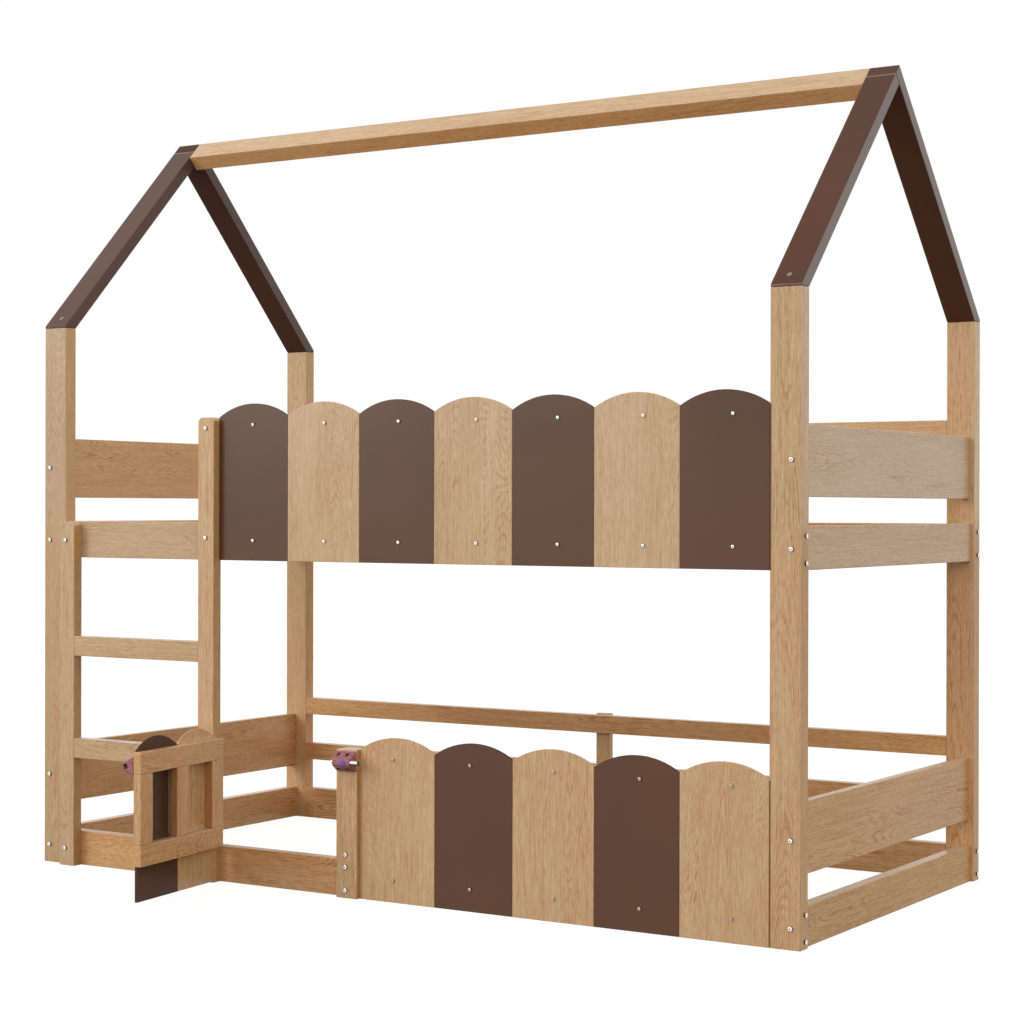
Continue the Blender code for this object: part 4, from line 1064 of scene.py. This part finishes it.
def make_fasteners():
    """Screw heads, bolt heads and dowel ends, in an order that keeps their turns the same each run."""
    draws = random.Random(HEAD_TURN_SEED)
    upper_screws = panel_screw_places("upper", UPPER_PANEL_SCREW_X, UPPER_PANEL_SCREW_HEIGHTS)
    lower_screws = panel_screw_places("lower", LOWER_PANEL_SCREW_X, LOWER_PANEL_SCREW_HEIGHTS)
    rafter_screw = flat_screw(RAFTER_SCREW_SIZE, RAFTER_SCREW_STAND)
    leaf_screw = flat_screw(LEAF_SCREW_SIZE, LEAF_SCREW_STAND)
    sets = (
        ("post_bolts", domed_bolt(), post_bolt_places(), "bed_frame"),
        ("upper_panel_screws", pan_screw(), upper_screws, "bed_frame"),
        ("lower_panel_screws", pan_screw(), lower_screws, "bed_frame"),
        ("frame_screws", domed_bolt(), frame_screw_places(), "bed_frame"),
        ("rafter_screws", rafter_screw, rafter_screw_places(), "bed_frame"),
        ("gate_screws", pan_screw(), gate_screw_places(), "gate"),
        ("lock_screws", pan_screw(LOCK_SCREW_SIZE), lock_screw_places(), "bed_frame"),
        ("hinge_fixed_screws", leaf_screw, leaf_screw_places(False), "bed_frame"),
        ("hinge_gate_screws", leaf_screw, leaf_screw_places(True), "gate"),
    )
    for name, rings, places, body in sets:
        shape = bmesh.new()
        add_heads(shape, rings, places, draws)
        add_piece(name, shape, body, "steel", FINISHES.get(name, SCREWS), SHADE_STEEL)
    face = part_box("ladder_upright_right")[1].x
    spots = [(Vector((face, middle("ladder_upright_right").y, z)), X_AXIS) for z in DOWEL_HEIGHTS]
    shape = bmesh.new()
    add_heads(shape, dowel_end(), spots, draws)
    turn = axes(Y_AXIS, X_AXIS, Z_AXIS)
    wood = oak_material("dowels", spots[0][0], turn, DOWEL_BOARD, SOLID, WARM_SHADE, DOWEL_RING_WIDTH)
    add_piece("dowel_ends", shape, "bed_frame", "oak", wood)


def make_camera():
    data = bpy.data.cameras.new("camera")
    data.sensor_fit = "HORIZONTAL"
    data.sensor_width = SENSOR_MM
    data.lens = FOCAL_PIXELS / IMAGE_PIXELS * SENSOR_MM
    data.clip_end = CAMERA_REACH
    camera = bpy.data.objects.new("camera", data)
    aim = Matrix.Rotation(CAMERA_YAW, 4, "Z") @ Matrix.Rotation(math.pi / 2 + CAMERA_PITCH, 4, "X")
    camera.matrix_world = Matrix.Translation(CAMERA_PLACE) @ aim @ Matrix.Rotation(CAMERA_ROLL, 4, "Z")
    bpy.context.scene.collection.objects.link(camera)
    bpy.context.scene.camera = camera


def add_lamp(name, place, target, size, power):
    data = bpy.data.lights.new(name, "AREA")
    data.shape = "DISK"
    data.size = size
    data.energy = power
    lamp = bpy.data.objects.new(name, data)
    lamp.location = place
    lamp.rotation_euler = (Vector(target) - Vector(place)).to_track_quat("-Z", "Y").to_euler()
    lamp.visible_camera = False
    bpy.context.scene.collection.objects.link(lamp)


def make_light():
    """A white studio: an even sky, a large lamp at the front left and a weaker one at the front right."""
    world = bpy.data.worlds.new("studio")
    world.use_nodes = True
    background = world.node_tree.nodes["Background"]
    background.inputs["Color"].default_value = WHITE
    background.inputs["Strength"].default_value = SKY_LEVEL
    bpy.context.scene.world = world
    target = (0, MIDDLE_Y, LAMP_AIM_HEIGHT)
    add_lamp("left_lamp", LEFT_LAMP_PLACE, target, LAMP_SIZE, LEFT_LAMP_POWER)
    add_lamp("right_lamp", RIGHT_LAMP_PLACE, target, LAMP_SIZE, RIGHT_LAMP_POWER)


def make_floor():
    """A floor that shows nearly white, but that sends little light up to the bed."""
    mesh = bpy.data.meshes.new("floor")
    half = FLOOR_SIZE / 2
    corners = [(-half, -half, 0), (half, -half, 0), (half, half, 0), (-half, half, 0)]
    mesh.from_pydata(corners, [], [(0, 1, 2, 3)])
    floor = bpy.data.objects.new("floor", mesh)
    bpy.context.scene.collection.objects.link(floor)
    material, tree, shader = new_material("floor")
    feed(tree, shader, "Base Color", FLOOR_COLOUR)
    feed(tree, shader, "Roughness", FLOOR_ROUGHNESS)
    feed(tree, shader, "Specular IOR Level", 0.0)
    path = add_node(tree, "ShaderNodeLightPath").outputs
    seen = calc(tree, "MAXIMUM", path["Is Camera Ray"], path["Is Glossy Ray"])
    seen = calc(tree, "MAXIMUM", seen, path["Is Transmission Ray"])
    feed(tree, shader, "Emission Color", WHITE)
    feed(tree, shader, "Emission Strength", product(tree, seen, FLOOR_LIFT))
    mesh.materials.append(material)


OAK = oak_group()
ROOF_JOINT = front_slope_top() - JOINT_LINE_HEIGHT
GATE_REVEAL = shut_box("gate_mullion")[1].x - HINGE_AXIS.x
# The paint of each brown piece, by the start of its name, as lit and shaded copies of one brown. The first
# match holds
PAINTS = {
    "lower_": paint_material("brown_low_shaded_paint", LOW_SHADED_PAINT),
    "gate_": paint_material("brown_gate_paint", GATE_PAINT, GATE_PAINT_SHEEN, reveal=GATE_REVEAL),
    "rafter_front_left": paint_material("brown_left_roof_lit_paint", LEFT_ROOF_LIT_PAINT, LEFT_ROOF_SHEEN,
                                        slope_share=LEFT_SLOPE_SHEEN_SHARE, line=ROOF_JOINT),
    "rafter_back_left": paint_material("brown_far_roof_shaded_paint", FAR_ROOF_SHADED_PAINT, FAR_ROOF_SHEEN,
                                       FAR_UNDERSIDE_SHEEN_SHARE),
    "rafter_front_right": paint_material("brown_roof_paint", ROOF_PAINT, ROOF_SHEEN,
                                         ROOF_UNDERSIDE_SHEEN_SHARE, line=ROOF_JOINT),
    "rafter_back_right": paint_material("brown_back_roof_paint", ROOF_PAINT, ROOF_SHEEN,
                                        ROOF_UNDERSIDE_SHEEN_SHARE),
    "upper_": paint_material("brown_paint", PAINT),
}
BOLT_STEEL = steel_material("bolt_steel", BRIGHT_STEEL, BOLT_ROUGHNESS, BOLT_BRUSH, SHADE_STEEL_COLOUR)
SLOT_MATERIALS = {
    "mauve_plastic": plastic_material("mauve_plastic", MAUVE_LIGHT, MAUVE_DARK, *MAUVE_SURFACE, lock_wells()),
    "violet_plastic": plastic_material("violet_plastic", VIOLET, scaled(VIOLET, VIOLET_DARK_SHARE),
                                       *VIOLET_SURFACE),
    "steel": steel_material("leaf_steel", SCREW_STEEL, SCREW_ROUGHNESS, LEAF_BRUSH),
}
SCREWS = steel_material("screw_steel", SCREW_STEEL, SCREW_ROUGHNESS)
SHADE_STEEL = steel_material("shade_steel", SHADE_STEEL_COLOUR, SHADE_STEEL_ROUGHNESS)
# The lock's sunk screws are all in painted shade
FINISHES = {"lock_screws": SHADE_STEEL,
            "rafter_screws": steel_material("dull_steel", DULL_STEEL, DULL_ROUGHNESS),
            "lower_panel_screws": steel_material("aged_steel", AGED_STEEL, DULL_ROUGHNESS)}
STRAP = webbing_material()

paint_nodes()
make_slats()
make_straps()
make_fasteners()
make_floor()
make_light()
make_camera()

scene = bpy.context.scene
scene.view_settings.view_transform = "Standard"
